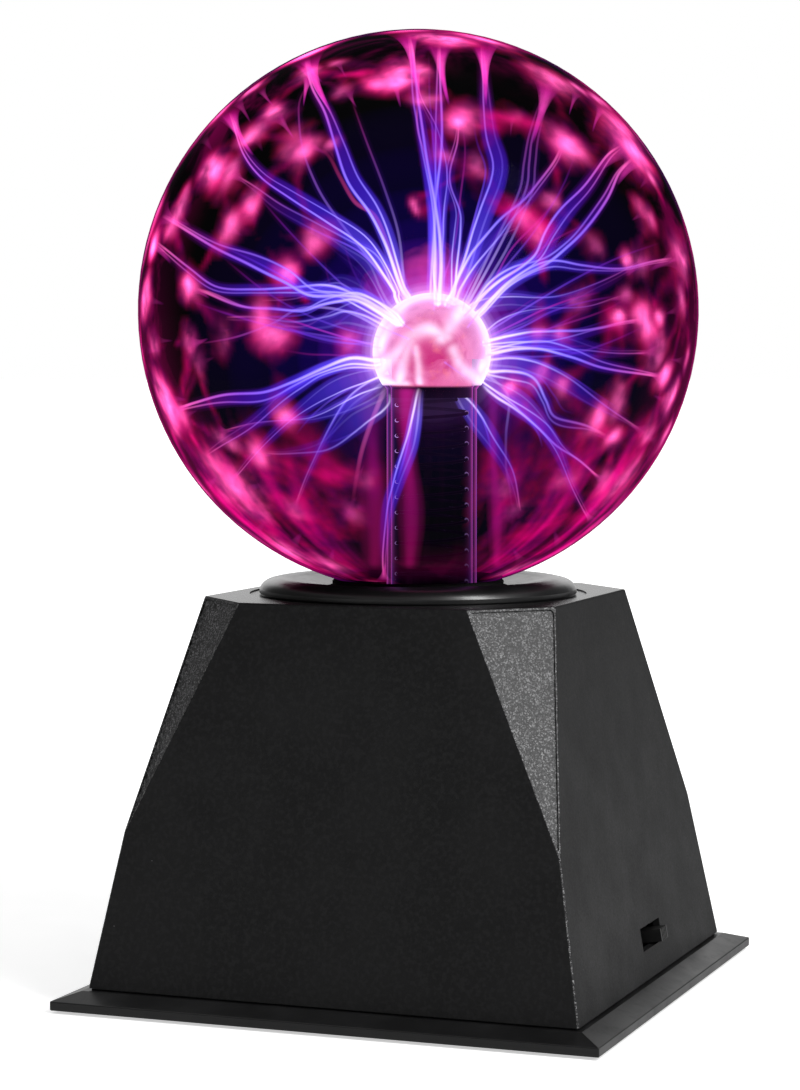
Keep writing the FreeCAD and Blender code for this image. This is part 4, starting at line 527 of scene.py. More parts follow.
for index, (kind, width, gain, mouth, points) in enumerate(STREAMERS):
    r = np.random.RandomState(100 + index)
    e = DOME / MM - CENTRE
    root = np.array(points[0], float) - e
    root *= 19.0 / np.linalg.norm(root)
    under = np.array(points[0], float)[2] - e[2] < -11.0
    if not under:
        points = [tuple(e + root)] + list(points)
    p, length = spline(points, 60)
    s = np.linspace(0, 1, len(p))
    t, u, w = frames(p, TO_EYE)
    turn = r.uniform(-0.5, 0.5) + r.uniform(-0.9, 0.9) * s
    u, w = u * np.cos(turn)[:, None] + w * np.sin(turn)[:, None], w * np.cos(turn)[:, None] - u * np.sin(turn)[:, None]
    open_ = width * 1.45 * np.interp(s, [0, 0.05, 0.14, 0.3, 0.5, 0.8, 1.0], [0.25, 0.6, 0.95, 1.1, 0.85, 0.5, 0.15]) * (0.8 + 0.3 * np.sin(s * r.uniform(4, 8) + r.uniform(0, 6)))
    near = np.ones((len(p), 4)) * np.array([1, 1, 1, gain])
    if under:
        near[:, 3] *= np.interp(s, [0, 0.16], [0.0, 1.0])
    deep = 1.1 if p[-1][2] < -25 else 1.0
    lean = r.uniform(0.75, 1.2)
    if kind in ("pair", "ribbon"):
        half = open_ * 0.5 + 0.15
        fan = np.interp(s, [0, 0.05, 0.2, 0.6, 1], [1.4, 1.5, 1.7, 1.5, 0.8])
        veils.tube(p, u, w, half + fan, 0.8 + 0.62 * half, blend_colors(s, VEIL) * near * np.array([1, 1, deep, deep]), 20, None, index * 3.7)
        first = 1 if index % 2 else -1
        for sg in (-1, 1):
            sway = r.uniform(0.3, 1.0) * np.sin(s * r.uniform(5, 11) + r.uniform(0, 6)) * np.clip(4 * s * (1 - s), 0, 1)
            q = p + u * (half * sg * 0.9 + sway)[:, None] + w * (0.4 * sway)[:, None]
            if kind == "pair":
                strong, thick = (1.0, 1.05) if sg == first else (0.5, 0.8)
            else:
                strong, thick = (0.55, 0.8) if sg == first else (0.2, 0.7)
            rr = np.interp(s, [0, 0.1, 0.3, 0.6, 1], [0.95, 0.80, 0.66, 0.60, 0.5]) * thick * lean
            lines.tube(q, u, w, rr, rr, blend_colors(s, LINE) * near * np.array([1, 1, 1, strong]), 12)
            if strong > 0.4:
                cores.tube(q, u, w, rr * 0.5, rr * 0.5, blend_colors(s, CORE) * near * np.array([1, 1, 1, strong]), 8)
        # a faint side thread that leaves the main one and fades out in the open
        a0, a1 = r.uniform(0.02, 0.25) + (0.12 if under else 0.0), r.uniform(0.45, 0.95)
        pick = (s >= a0) & (s <= a1)
        q2 = (p + u * (half * first)[:, None])[pick]
        g = np.linspace(0, 1, len(q2))
        way = u[pick] * r.uniform(-1, 1) + w[pick] * r.uniform(-1, 1)
        q2 = q2 + way * (r.uniform(2.0, 7.0) * g ** 1.4)[:, None]
        t2, u2, w2 = frames(q2)
        c2 = blend_colors(a0 + (a1 - a0) * g, LINE) * np.array([0.65, 0.4, 1.0, 0.45 * gain])
        c2[:, 3] *= np.interp(g, [0, 0.1, 0.6, 1], [0.2, 1.0, 0.7, 0.0])
        lines.tube(q2, u2, w2, 0.5, 0.5, c2, 10)
        halos.tube(p, u, w, half + 2.2, 1.8 + half * 0.4, blend_colors(s, HALO) * near, 12)
    else:
        table = PINK if kind == "pink" else THIN
        rr = np.interp(s, [0, 0.1, 0.5, 1], [0.7, 0.65, 0.6, 0.45]) * (1.7 if kind == "pink" else 1.0)
        lines.tube(p, u, w, rr, rr, blend_colors(s, table) * near, 10)
        halos.tube(p, u, w, 1.8, 1.8, blend_colors(s, HALO) * near * np.array([1, 1, 1, 0.8]), 10)
    if mouth:
        end = p[-1]
        if np.linalg.norm(end) > 90:
            flare(end, mouth * 0.7, min(1.0, gain), mouth * 1.5, p[int(len(p) * 0.8)], 500 + index)

for index, (x, y, z, size, gain, tail) in enumerate(CLOUDS):
    flare((x, y, z), size * 0.7, gain * 0.4, tail * 0.8, None, 900 + index)

# faint threads that fade out in the open, all round
for index in range(30):
    r = np.random.RandomState(4000 + index)
    way = r.normal(size=3)
    way[2] = abs(way[2]) * 1.1 - 0.35
    way /= np.linalg.norm(way)
    start = (DOME / MM - CENTRE) + way * 21.0
    bend = np.cross(way, r.normal(size=3)) * r.uniform(2.0, 7.0)
    reach = r.uniform(40.0, 74.0)
    way2 = way + np.array([0, 0, 0.16])
    pts = [start + way2 * reach * t + bend * math.sin(t * 3.0) + r.normal(size=3) * 0.5 for t in (0.0, 0.25, 0.5, 0.75, 1.0)]
    if np.linalg.norm(pts[-1]) > 99.0:
        pts = [q * min(1.0, 98.5 / np.linalg.norm(q)) for q in pts]
    p, length = spline(pts, 30)
    s = np.linspace(0, 1, len(p))
    t, u, w = frames(p)
    gain = r.uniform(0.2, 0.5)
    lines.tube(p, u, w, 0.5, 0.5, blend_colors(s, PINK if index % 3 == 0 else THIN) * np.array([0.6, 0.35, 1.1, gain]), 8)
    halos.tube(p, u, w, 1.7, 1.7, blend_colors(s, HALO) * np.array([1, 1, 1, gain]), 8)

e = DOME / MM - CENTRE
for shift, half, depth, table in ((-8.5, 5.6, 22.5, [(0, 1.3, 0.03, 0.60, 0.10), (0.3, 1.1, 0.01, 0.45, 0.075), (0.7, 0.8, 0.01, 0.36, 0.06), (1, 1.0, 0.01, 0.3, 0.05)]),
                                  (-21.0, 7.0, 24.0, [(0, 0.9, 0.01, 0.6, 0.0), (0.35, 1.0, 0.01, 0.5, 0.04), (0.7, 0.9, 0.01, 0.34, 0.05), (1, 1.0, 0.01, 0.3, 0.04)]),
                                  (22.5, 4.0, 20.0, [(0, 0.9, 0.05, 0.9, 0.03), (0.5, 1.0, 0.01, 0.5, 0.05), (1, 1.1, 0.01, 0.35, 0.06)])):
    pts = [e + np.array([0.935, 0.354, 0.0]) * (shift + 0.9 * math.sin(q * 5.0 + shift)) + np.array([0.354, -0.935, 0.0]) * (depth * (1 - 0.25 * q)) + np.array([0, 0, -13.0 - 64.0 * q]) for q in (0.0, 0.2, 0.4, 0.6, 0.8, 1.0)]
    p, length = spline(pts, 40)
    t, u, w = frames(p, (0.354, -0.935, 0.0))
    s = np.linspace(0, 1, len(p))
    for share, dense in ((1.0, 1.0), (0.55, 1.0)):
        halos.tube(p, u, w, half * share * (0.85 + 0.15 * np.cos(s * 9.0)), half * share, blend_colors(s, table) * np.array([1, 1, 1, dense]), 24)

lines.build("streamer_lines", gas("streamer_lines", 1.25, 1.9))
cores.build("streamer_cores", gas("streamer_cores", 1.0, 1.2))
veils.build("streamer_veils", gas("streamer_veils", 1.0, 1.6))
halos.build("streamer_halos", gas("streamer_halos", 1.0, 2.2))
flares.build("wall_flares", gas("wall_flares", 1.0, 2.0, 0.0, 0.3, 150.0))


# ---------------------------------------------------------------- glow on the glass
def wall_glow():
    """The thin layer of gas at the glass: a bright patch round each streamer's end, arms of gas that run from patch to
    patch and leave dark hollows between them, and a haze that thickens towards the neck. Only the places that glow
    have faces."""
    rows, cols, radius = 240, 480, 101.05
    low = -math.cos(math.asin(31.0 / radius))
    th = np.linspace(0.0, math.acos(low), rows + 1)
    ph = np.arange(cols) * 2 * math.pi / cols
    T, P = np.meshgrid(th, ph, indexing="ij")
    v = np.stack([np.sin(T) * np.cos(P), np.sin(T) * np.sin(P), np.cos(T)], 2).reshape(-1, 3) * radius
    warp = np.array([noise.noise_vector(Vector(q) / 20.0) for q in v]) * 6.0
    warp += np.array([noise.noise_vector(Vector(q) / 7.0) for q in v]) * 1.5
    rough = np.array([noise.fractal(Vector(q) / 16.0, 0.7, 2.0, 4) for q in v])
    fine = np.array([noise.fractal(Vector(q) / 5.0 + Vector((3, 1, 4)), 0.7, 2.0, 3) for q in v])
    moved = v + warp
    spots = [(np.array(c[:3]), c[3], c[4]) for c in CLOUDS]
    spots += [(np.array(s[4][-1]), max(4.0, s[3] * 0.9), s[2] * 0.8) for s in STREAMERS if s[3]]
    spots = [(c / np.linalg.norm(c) * radius, size, gain) for c, size, gain in spots]
    d = np.zeros(len(v))
    hot = np.zeros(len(v))
    for c, size, gain in spots:
        q = np.linalg.norm(moved - c, axis=1) / (size * 1.6)
        d = np.maximum(d, gain * 1.25 * np.exp(-q ** 1.9))
        hot = np.maximum(hot, gain * np.exp(-(q * 1.7) ** 2))
    # arms
    r = np.random.RandomState(21)
    arms = set()
    for i, (c, size, gain) in enumerate(spots):
        far = [(float(np.linalg.norm(c - o[0])), j) for j, o in enumerate(spots) if j != i]
        far = sorted(f for f in far if 9.0 < f[0] < 46.0)[:4]
        for dist, j in far[:r.randint(2, 4)]:
            arms.add((min(i, j), max(i, j)))
    for i, j in sorted(arms):
        a, b = spots[i][0], spots[j][0]
        ab = b - a
        long = float(np.linalg.norm(ab))
        near = np.where(np.linalg.norm(v - (a + b) / 2, axis=1) < long / 2 + 22.0)[0]
        m = moved[near]
        t = np.clip(((m - a) @ ab) / (long * long), 0, 1)
        q = a[None, :] + ab[None, :] * t[:, None]
        q *= (radius / np.linalg.norm(q, axis=1))[:, None]
        dist = np.linalg.norm(m - q, axis=1)
        edge = np.abs(2 * t - 1) ** 1.6
        wide = r.uniform(3.0, 6.0) * (0.55 + 0.75 * edge)
        gain = np.minimum(1.0, (spots[i][2] * (1 - t) + spots[j][2] * t)) * (r.uniform(0.25, 0.75) * (1 - edge) + 0.8 * edge)
        d[near] = np.maximum(d[near], gain * np.exp(-(dist / wide) ** 2 * 0.8))
    d *= np.clip(1.0 + 0.55 * rough, 0.4, 1.5)
    d = np.clip(d - 0.11, 0, 2) * 1.1
    d *= 1.0 - 0.18 * np.clip((v[:, 0] * 0.935 + v[:, 1] * 0.354) / 50.0, 0, 1)
    d *= 1.0 - 0.12 * np.clip((v[:, 2] - 10.0) / 40.0, 0, 1) * np.clip((92.0 - v[:, 2]) / 20.0, 0, 1)
    z = v[:, 2]
    az = np.arctan2(v[:, 1], v[:, 0])
    streak = np.array([noise.fractal(Vector((math.cos(a) * 5.0, math.sin(a) * 5.0, q[2] / 75.0)), 0.7, 2.0, 3) for a, q in zip(az, v)])
    # the haze is thick all round below, and parts in front of and behind the stem
    gap = np.abs(np.sin(az - math.atan2(TO_EYE[1], TO_EYE[0])))
    part = np.clip((gap * np.hypot(v[:, 0], v[:, 1]) - 17.0) / 15.0, 0, 1)
    rise = np.clip((-z - 30.0) / 44.0, 0, 1)
    rise = rise * rise * (3 - 2 * rise)
    d = d * (1 - 0.6 * rise) + rise * part * np.clip(0.17 + 0.75 * streak + 0.25 * rough, 0.0, 0.8) * (0.8 + 0.4 * np.clip((gap * np.hypot(v[:, 0], v[:, 1]) - 35.0) / 40.0, 0, 1))
    d *= np.clip(1.0 + 0.12 * fine, 0.6, 1.4)
    d = np.clip(d, 0, 1.25)
    d[d < 0.012] = 0.0
    keep = d > 0.0
    k = np.clip(d / 0.75, 0, 1)[:, None] ** 1.2
    red = np.clip(0.5 + 0.6 * fine + 0.9 * rough, 0, 1)[:, None]
    dim = (1 - red) * np.array([0.40, 0.0, 0.30]) + red * np.array([0.70, 0.0, 0.10])
    deep = np.clip(rise, 0, 1)[:, None]
    body = (1 - deep) * np.array([2.2, 0.012, 0.48]) + deep * np.array([1.3, 0.002, 0.33])
    col = (1 - k) * dim + k * body
    h = np.clip(hot * np.clip(0.95 + 0.6 * rough, 0, 1.4), 0, 1)[:, None]
    h = h * (1 - 0.6 * deep)
    col = col * (1 - h) + h * np.array([3.6, 0.62, 1.9])
    cols_all = np.concatenate([col, np.clip(d * 0.58, 0, 1)[:, None]], 1)
    idx = np.arange((rows + 1) * cols).reshape(rows + 1, cols)
    faces = []
    for i in range(rows):
        a = idx[i]
        b = idx[i + 1]
        for j in range(cols):
            q = (a[j], b[j], b[(j + 1) % cols], a[(j + 1) % cols])
            if i == 0:
                q = (a[0], b[j], b[(j + 1) % cols])
            if any(keep[x] for x in q):
                faces.append(tuple(int(x) for x in q))
    used = np.zeros(len(v), bool)
    for f in faces:
        used[list(f)] = True
    new = np.cumsum(used) - 1
    g = Gas()
    g.add(v[used], [tuple(int(new[x]) for x in f) for f in faces], cols_all[used])
    return g.build("wall_glow", gas("wall_glow", 1.0, 0.0, 1.1))


wall_glow()


# ---------------------------------------------------------------- glow round the electrode
def ball(g, centre, radius, color, low=-1.0, rows=24, cols=48, squash=1.0, waves=0.0, seed=0):
    """A rounded closed body of revolution, cut off flat below."""
    th = np.linspace(0, math.acos(low), rows + 1)[1:]
    ph = np.arange(cols) * 2 * math.pi / cols
    c = np.array(centre, float)
    v = [c + np.array([0, 0, radius * squash])]
    for t in th:
        for p in ph:
            d = np.array([math.sin(t) * math.cos(p), math.sin(t) * math.sin(p), math.cos(t) * squash])
            q = 1.0 + (waves * noise.fractal(Vector(d) * 2.2 + Vector((seed, 0, 0)), 0.7, 2.0, 3) if waves else 0.0)
            v.append(c + d * radius * q)
    f = [(0, 1 + j, 1 + (j + 1) % cols) for j in range(cols)]
    for i in range(rows - 1):
        for j in range(cols):
            a, b = 1 + i * cols + j, 1 + i * cols + (j + 1) % cols
            f.append((a, a + cols, b + cols, b))
    last = 1 + (rows - 1) * cols
    v.append(np.mean([v[last + j] for j in range(cols)], axis=0))
    f += [(len(v) - 1, last + (j + 1) % cols, last + j) for j in range(cols)]
    g.add(np.array(v), f, np.tile(np.array(color, float), (len(v), 1)))


E0 = DOME / MM - CENTRE
glow = Gas()
for radius, color in (
        (24.0, (0.101, 0.0539, 0.165)), (26.5, (0.0611, 0.0154, 0.1151)), (29.5, (0.0353, 0.0019, 0.0628)), (33.5, (0.0236, 0.0007, 0.044)),
        (39.0, (0.0096, 0.0005, 0.0434)), (46.0, (0.0016, 0.0, 0.020)), (56.0, (0.0007, 0.0, 0.0123)), (70.0, (0.0004, 0.0, 0.0057)), (84.0, (0.0006, 0.0, 0.0039))):
    dense = 0.08 if radius < 30 else 0.03
    radius *= 1.075
    ball(glow, E0, radius, tuple(q * 0.9 / dense for q in color) + (dense,), rows=40, cols=80)
    v, c = glow.v[-1], glow.c[-1]
    c[:, 3] *= np.interp(v[:, 2] - E0[2], [-26.0, -6.0], [0.35 if radius < 40 else 0.5, 1.0])
    across = np.abs((v[:, 0] - E0[0]) * 0.935 + (v[:, 1] - E0[1]) * 0.354)
    stem = np.clip((26.0 - across) / 10.0, 0, 1) * np.clip((-7.0 - v[:, 2] + E0[2]) / 5.0, 0, 1)
    c[:, 3] *= 1.0 - 0.85 * stem
for radius, color in ((22.7, (1.7, 1.30, 1.7, 0.20)), (24.6, (1.3, 0.65, 1.6, 0.10))):
    ball(glow, E0, radius, color, rows=40, cols=96)
    glow.c[-1][:, 3] *= np.interp(glow.v[-1][:, 2] - E0[2], [-11.0, -8.0], [0.0, 1.0])
glow.build("electrode_halo", gas("electrode_halo", 1.0, 0.0, hollow=True))

plume = Gas()
ball(plume, E0 + np.array([0, 0, 25.0]), 15.0, (6.0, 0.4, 2.2, 0.05), waves=0.10, seed=5)
ball(plume, E0 + np.array([9.0, 6.0, 24.0]), 9.0, (5.0, 0.3, 2.4, 0.04), waves=0.10, seed=7)
ball(plume, E0 + np.array([-15.0, -8.0, 22.0]), 10.0, (3.0, 0.05, 1.6, 0.04), waves=0.10, seed=9)
plume.build("electrode_plume", gas("electrode_plume", 1.0, 2.6))


# curved tongues of gas on the dome: points across and up, in shares of its radius, and a half width in mm
TONGUES = [
    ([(-0.95, -0.38), (-0.66, -0.12), (-0.40, 0.18), (-0.12, 0.33), (0.10, 0.28), (0.22, 0.22)], 2.1),
    ([(0.16, 0.18), (0.28, 0.36), (0.44, 0.58), (0.62, 0.76)], 2.0),
    ([(-0.36, 0.14), (-0.46, -0.10), (-0.54, -0.40), (-0.58, -0.60)], 1.7),
    ([(0.36, -0.02), (0.48, -0.26), (0.68, -0.44), (0.94, -0.58)], 1.7),
    ([(-0.62, 0.62), (-0.42, 0.84), (-0.10, 0.94), (0.24, 0.90)], 2.2),
    ([(-0.88, 0.10), (-0.72, 0.42), (-0.60, 0.64)], 2.6),
    ([(-0.30, 0.02), (-0.24, -0.28), (-0.22, -0.58)], 1.1),
]


def dome_glow():
    """The discharge that hugs the electrode's glass dome: white at its edge, with soft white tongues over pink."""
    n = Net("dome_glow")
    at = n.coords()
    glow_in = n.node("Attribute", attribute_name="glow")
    part = n.node("SeparateColor", {0: glow_in.outputs["Color"]})
    side = n.node("LayerWeight", {"Blend": 0.5}).outputs["Facing"]
    tongue = n.math("MULTIPLY", part.outputs[0], n.ramp(n.noise(70.0, 2.0, 0.5, at), 0.3, 0.7, 0.6, 1.0), clamp=True)
    small = n.noise(150.0, 3.0, 0.5, at)
    rim = n.ramp(side, 0.28, 0.86)
    fac = n.math("ADD", n.math("MULTIPLY", tongue, 0.8), n.math("ADD", rim, n.ramp(small, 0.35, 0.7, 0.02, 0.07)), clamp=True)
    fac = n.math("MULTIPLY", fac, part.outputs[1])
    col = n.mix(n.math("MAXIMUM", tongue, rim), (1.2, 0.42, 0.80), (1.5, 1.20, 1.5))
    light = n.node("Emission", {"Color": col, "Strength": 1.0 * GAIN})
    clear = n.node("BsdfTransparent")
    m = n.node("MixShader", {0: fac, 1: clear.outputs[0], 2: light.outputs[0]})
    n.mat.cycles.emission_sampling = "NONE"
    n.surface(m.outputs[0])
    g = Gas()
    ball(g, E0, 21.55, (1, 1, 1, 1), low=-12.2 / 21.55, rows=72, cols=180)
    v = g.v[-1] - E0
    right, up, eye = np.array([0.935, 0.354, 0.0]), np.array([-0.02, 0.05, 0.998]), np.array([0.354, -0.935, 0.06])
    best = np.zeros(len(v))
    for turn, lift in ((0.0, 0.0), (2.3, 0.1), (4.2, -0.05)):
        c, si = math.cos(turn), math.sin(turn)
        spin = np.array([[c, -si, 0], [si, c, 0], [0, 0, 1]])
        for line, wide in TONGUES:
            pts = []
            for x, y in line:
                x, y = x * 0.97, (y + lift) * 0.97
                pts.append(spin @ (right * x + up * y + eye * math.sqrt(max(0.0, 1 - x * x - y * y))) * 21.55)
            fine, _ = spline(pts, 40)
            fine *= 21.55 / np.linalg.norm(fine, axis=1)[:, None]
            near = np.min(np.linalg.norm(v[:, None, :] - fine[None, :, :], axis=2), axis=1)
            best = np.maximum(best, np.exp(-(near / (wide * 1.55)) ** 2))
    g.c[-1][:, 0] = best
    g.c[-1][:, 1] = np.clip((v[:, 2] + 12.15) / 0.8, 0, 1)
    return g.build("dome_glow", n.mat)


dome_glow()


def wool():
    """Steel wool with the discharge's light painted on it as a glow: mottled pink and orange above, dark below the
    dome's edge.
    """
    n = Net("steel_wool")
    at = n.coords()
    z = n.node("SeparateXYZ", {0: at}).outputs[2]
    big = n.noise(85.0, 3.0, 0.55, at, 0.6)
    small = n.noise(230.0, 4.0, 0.6, at)
    strands = n.node("TexWave", {"Scale": 420.0, "Distortion": 14.0, "Detail": 3.0, "Detail Scale": 2.0})
    n.put(strands.inputs["Vector"], at)
    col = n.mix(n.ramp(big, 0.38, 0.62), (0.70, 0.03, 0.22), (1.0, 0.19, 0.46))
    col = n.mix(n.math("MULTIPLY", n.ramp(small, 0.5, 0.72), 0.45), col, (1.2, 0.24, 0.26))
    # painted light: the glow is cut off just below the dome's edge
    lit = n.ramp(z, 0.2176, 0.2188)
    return n.surface(n.principled(color=(0.02, 0.018, 0.02), rough=0.6, metal=0.6, emit=col, power=n.math("MULTIPLY", lit, 0.92 * GAIN), normal=n.bump(n.math("ADD", small, strands.outputs[1]), 0.0003, 0.35)))


m = wool()
m.cycles.emission_sampling = "NONE"
dress(m, "electrode_wool")


# Coil spring steel; the discharge's light on it and its glints are painted as emission.
def spring_painted_glints():
    n = Net("spring_steel")
    at = n.coords()
    f = n.noise(900.0, 3.0, 0.6, at)
    z = n.node("SeparateXYZ", {0: at}).outputs[2]
    xyz = n.node("SeparateXYZ", {0: at})
    away = n.node("CombineXYZ", {0: n.math("SUBTRACT", xyz.outputs[0], float(DOME[0])), 1: n.math("SUBTRACT", xyz.outputs[1], float(DOME[1])), 2: 0.0}).outputs[0]
    unit = n.node("VectorMath", {0: away}, operation="NORMALIZE").outputs[0]
    turn = n.node("VectorMath", {0: unit, 1: (-0.935, -0.354, 0.0)}, operation="DOT_PRODUCT").outputs["Value"]
    # painted glints: bright spots of emission on the wire where it faces one way round the electrode's axis, fainter
    # ones opposite
    painted_glints = n.math("ADD", n.ramp(turn, 0.965, 0.995), n.math("MULTIPLY", n.ramp(turn, -0.97, -0.995), 0.3))
    # painted light: the whole wire glows faintly, more strongly towards the dome
    lit = n.math("MULTIPLY", n.math("ADD", n.math("MULTIPLY", painted_glints, 0.9), 0.006), n.ramp(z, 0.135, 0.215, 0.15 * GAIN, 1.0 * GAIN))
    return n.surface(n.principled(color=n.mix(f, (0.035, 0.035, 0.04), (0.06, 0.06, 0.065)), rough=n.ramp(f, 0.3, 0.7, 0.3, 0.45), metal=1.0, emit=(0.75, 0.40, 1.1), power=lit, normal=n.bump(f, 0.00005, 0.3)))


m = spring_painted_glints()
m.cycles.emission_sampling = "NONE"
dress(m, "contact_spring")


def stem_glass():
    """Clear glass tube with a painted violet glow in its wall where it is seen edge on, weaker lower down, and a faint
    painted glow in streaks.
    """
    n = Net("stem_glass")
    at = n.coords()
    side = n.node("LayerWeight", {"Blend": 0.5}).outputs["Facing"]
    z = n.node("SeparateXYZ", {0: at}).outputs[2]
    streak = n.noise(60.0, 3.0, 0.6, n.coords((3.0, 3.0, 0.25)))
    # painted glow: the discharge's light in the glass, strongest where the tube is seen edge on
    wall = n.math("POWER", side, 6.0)
    fade = n.ramp(z, 0.112, 0.235, 0.45, 1.0)
    fac = n.math("MULTIPLY", n.math("MULTIPLY", wall, n.ramp(streak, 0.3, 0.7, 0.5, 1.0)), n.math("MULTIPLY", fade, 0.75), clamp=True)
    fac = n.math("ADD", fac, n.ramp(streak, 0.5, 0.8, 0.0, 0.004))
    col = n.mix(n.ramp(streak, 0.4, 0.62), (0.30, 0.12, 1.0), (1.0, 0.12, 0.70))
    light = n.node("Emission", {"Color": col, "Strength": GAIN})
    clear = n.node("BsdfTransparent", {"Color": (0.97, 0.97, 0.98)})
    m = n.node("MixShader", {0: fac, 1: clear.outputs[0], 2: light.outputs[0]})
    gloss = n.node("BsdfGlossy", {"Roughness": 0.03, "Color": (1, 1, 1)})
    fr = n.node("Fresnel", {"IOR": 1.45}).outputs[0]
    m2 = n.node("MixShader", {0: n.math("MULTIPLY", fr, 0.06), 1: m.outputs[0], 2: gloss.outputs[0]})
    n.mat.cycles.emission_sampling = "NONE"
    return n.surface(m2.outputs[0])


dress(stem_glass(), "electrode_stem")


def globe_glass():
    """The globe's glass, darkened with a smoke tint so that the room behind it does not show: painted shade for a dark
    room.
    Seen edge on, and in patches, its wall glows in the colour of the gas that lies against it: painted glow."""
    n = Net("globe_glass")
    at = n.coords()
    film = n.noise(22.0, 3.0, 0.5, at)
    far = n.node("VectorMath", {0: at, 1: tuple(float(q) for q in GLOBE)}, operation="DISTANCE").outputs["Value"]
    outside = n.math("GREATER_THAN", far, 0.1007)
    # painted shade: the outer surface's dark smoke tint
    dark_tint = n.mix(n.ramp(film, 0.3, 0.7), (SHADE_TINT ** 2 * 0.98, SHADE_TINT ** 2 * 0.97, SHADE_TINT ** 2 * 1.02), (SHADE_TINT ** 2 * 1.01, SHADE_TINT ** 2 * 1.0, SHADE_TINT ** 2 * 1.05))
    tint = n.mix(outside, (1.0, 1.0, 1.0), dark_tint)
    clear = n.node("BsdfTransparent", {"Color": tint})
    side = n.node("LayerWeight", {"Blend": 0.5}).outputs["Facing"]
    # painted glow: the glass's edge, seen edge on, glows in the gas's colour
    edge = n.math("MULTIPLY", outside, n.ramp(side, 0.83, 0.95))
    # painted glow in patches on the glass, with more of it towards the bottom and none below the collar
    painted_glow_patches = n.noise(26.0, 4.0, 0.6, at, 0.6)
    low = n.ramp(n.node("SeparateXYZ", {0: at}).outputs[2], 0.295, 0.225)
    lit = n.math("MAXIMUM", n.ramp(painted_glow_patches, 0.42, 0.60), n.math("MULTIPLY", low, 0.7))
    lit = n.math("MULTIPLY", lit, n.ramp(n.node("SeparateXYZ", {0: at}).outputs[2], 0.1465, 0.158))
    col = n.mix(lit, (0.035, 0.0, 0.055), (0.42, 0.002, 0.14))
    glow = n.node("Emission", {"Color": col, "Strength": 1.0})
    veil = n.math("MULTIPLY", n.math("MULTIPLY", outside, n.ramp(side, 0.42, 0.86, 0.0, 0.34)), lit)
    wall = n.node("MixShader", {0: n.math("MAXIMUM", n.math("MULTIPLY", edge, 0.96), veil), 1: clear.outputs[0], 2: glow.outputs[0]})
    gloss = n.node("BsdfGlossy", {"Roughness": n.ramp(film, 0.3, 0.7, 0.04, 0.08), "Color": (0.9, 0.9, 1.0)})
    fr = n.node("Fresnel", {"IOR": 1.25}).outputs[0]
    m = n.node("MixShader", {0: n.math("MULTIPLY", fr, 0.012), 1: wall.outputs[0], 2: gloss.outputs[0]})
    n.mat.cycles.emission_sampling = "NONE"
    return n.surface(m.outputs[0])


dress(globe_glass(), "globe_glass")


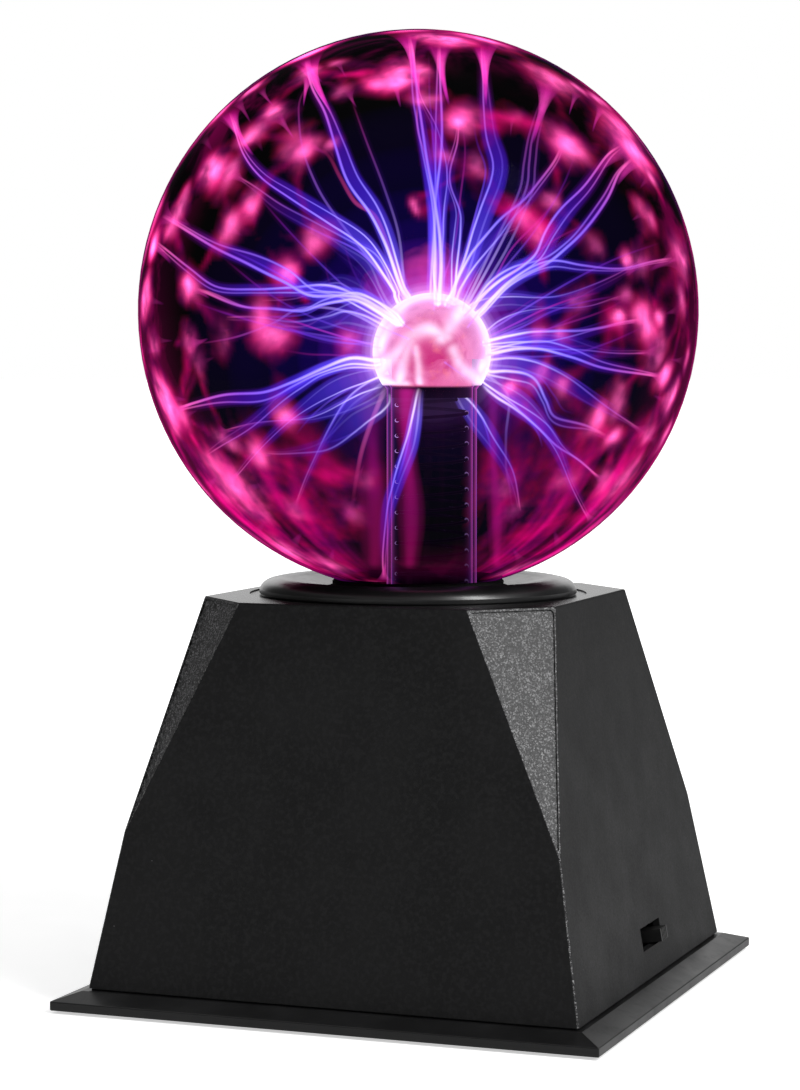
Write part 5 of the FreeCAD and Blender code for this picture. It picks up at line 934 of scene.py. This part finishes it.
# ---------------------------------------------------------------- room
def room():
    sc = bpy.context.scene
    w = bpy.data.worlds.new("room")
    sc.world = w
    w.use_nodes = True
    t = w.node_tree
    t.nodes.clear()
    out = t.nodes.new("ShaderNodeOutputWorld")
    path = t.nodes.new("ShaderNodeLightPath")
    seen = t.nodes.new("ShaderNodeBackground")
    seen.inputs["Color"].default_value = (1, 1, 1, 1)
    seen.inputs["Strength"].default_value = 1.0
    lit = t.nodes.new("ShaderNodeBackground")
    lit.inputs["Color"].default_value = (1.0, 1.0, 1.0, 1)
    where = t.nodes.new("ShaderNodeTexCoord")
    dot = t.nodes.new("ShaderNodeVectorMath")
    dot.operation = "DOT_PRODUCT"
    dot.inputs[1].default_value = (-0.361, 0.933, 0.0)
    t.links.new(where.outputs["Generated"], dot.inputs[0])
    split = t.nodes.new("ShaderNodeSeparateXYZ")
    t.links.new(where.outputs["Generated"], split.inputs[0])

    def step(socket, lo, hi, a, b):
        r = t.nodes.new("ShaderNodeMapRange")
        r.interpolation_type = "SMOOTHSTEP"
        for i, q in ((1, lo), (2, hi), (3, a), (4, b)):
            r.inputs[i].default_value = q
        t.links.new(socket, r.inputs[0])
        return r.outputs[0]

    def calc(op, a, b):
        m = t.nodes.new("ShaderNodeMath")
        m.operation = op
        for i, q in enumerate((a, b)):
            if isinstance(q, bpy.types.NodeSocket):
                t.links.new(q, m.inputs[i])
            else:
                m.inputs[i].default_value = q
        return m.outputs[0]

    flat = calc("SQRT", calc("MAXIMUM", calc("SUBTRACT", 1.0, calc("MULTIPLY", split.outputs[2], split.outputs[2])), 0.0001), 0.0)
    turn = calc("DIVIDE", dot.outputs["Value"], flat)
    behind = calc("MULTIPLY", step(turn, 0.84, 0.97, 0.0, 1.0), step(split.outputs[2], 0.85, 0.55, 0.0, 1.0))
    above = step(split.outputs[2], 0.45, 0.85, 0.0, 0.42)
    most = calc("MAXIMUM", calc("MAXIMUM", behind, above), 0.06)
    t.links.new(most, lit.inputs["Strength"])
    mix = t.nodes.new("ShaderNodeMixShader")
    t.links.new(path.outputs["Is Camera Ray"], mix.inputs[0])
    t.links.new(lit.outputs[0], mix.inputs[1])
    t.links.new(seen.outputs[0], mix.inputs[2])
    t.links.new(mix.outputs[0], out.inputs[0])

    me = bpy.data.meshes.new("floor")
    rings, sides = 24, 64
    v, f = [(0, 0, 0)], []
    for i in range(rings):
        r = 0.12 * (1.28 ** i)
        v += [(r * math.cos(a * 2 * math.pi / sides), r * math.sin(a * 2 * math.pi / sides), 0) for a in range(sides)]
    f += [(0, 1 + j, 1 + (j + 1) % sides) for j in range(sides)]
    for i in range(rings - 1):
        for j in range(sides):
            a, b = 1 + i * sides + j, 1 + i * sides + (j + 1) % sides
            f.append((a, a + sides, b + sides, b))
    me.from_pydata(v, [], f)
    floor = bpy.data.objects.new("floor", me)
    sc.collection.objects.link(floor)
    n = Net("floor")
    soft = n.noise(60.0, 3.0, 0.5)
    xyz = n.node("SeparateXYZ", {0: n.coords()})
    far = n.math("SQRT", n.math("ADD", n.math("POWER", xyz.outputs[0], 2.0), n.math("POWER", xyz.outputs[1], 2.0)))
    seen = n.node("LightPath").outputs["Is Camera Ray"]
    # The floor's own glow: for the camera it rises from 0.55 near the base to 1.05 further out, painting a darker pool
    # round the base (painted shade) and a white backdrop beyond; other rays see a dimmer glow.
    power = n.node("Mix", {0: seen, 2: n.ramp(far, 0.25, 0.9, 0.10, 0.28), 3: n.ramp(far, 0.25, 0.9, 0.55, 1.05)}, data_type="FLOAT").outputs[0]
    me.materials.append(n.surface(n.principled(color=n.mix(n.ramp(soft, 0.3, 0.7), (0.86, 0.86, 0.86), (0.90, 0.90, 0.90)), rough=0.7, spec=0.2, emit=(1, 1, 1), power=power)))
    n.mat.cycles.emission_sampling = "NONE"

    def softbox(name, at, aim, size, power, color=(1, 1, 1)):
        d = bpy.data.lights.new(name, "AREA")
        d.shape = "RECTANGLE"
        d.size, d.size_y = size
        d.energy = power
        d.color = color
        o = bpy.data.objects.new(name, d)
        sc.collection.objects.link(o)
        o.location = at
        o.rotation_euler = (Vector(aim) - Vector(at)).to_track_quat("-Z", "Y").to_euler()
        return o

    softbox("key", (1.55, -0.55, 0.95), (0, 0, 0.12), (0.8, 0.6), 13.0)
    softbox("top", (-0.2, 0.1, 1.9), (0, 0, 0.1), (1.4, 1.4), 8.0)
    softbox("fill", (-1.6, -1.0, 0.8), (0, 0, 0.12), (0.8, 0.8), 0.15)
    softbox("strip", (1.12, -0.41, 1.33), (0, 0, 0.12), (0.30, 0.62), 11.0)


room()

cam = bpy.data.cameras.new("camera")
cam.sensor_width = 36.0
cam.sensor_fit = "AUTO"
cam.lens = 98.22
cam.clip_end = 100
o = bpy.data.objects.new("camera", cam)
bpy.context.scene.collection.objects.link(o)
yaw, pitch = -0.362, 0.0617
fwd = Vector((math.sin(yaw) * math.cos(pitch), math.cos(yaw) * math.cos(pitch), -math.sin(pitch)))
right = Vector((math.cos(yaw), -math.sin(yaw), 0))
up = right.cross(fwd)
o.matrix_world = Matrix(((right.x, up.x, -fwd.x, 0.3777), (right.y, up.y, -fwd.y, -1.0160), (right.z, up.z, -fwd.z, 0.2272), (0, 0, 0, 1)))
bpy.context.scene.camera = o

sc = bpy.context.scene
sc.view_settings.view_transform = "Standard"
sc.view_settings.look = "None"
sc.cycles.transparent_max_bounces = 160
sc.cycles.min_transparent_bounces = 160     # the globe's many thin layers are all followed
sc.cycles.max_bounces = 6
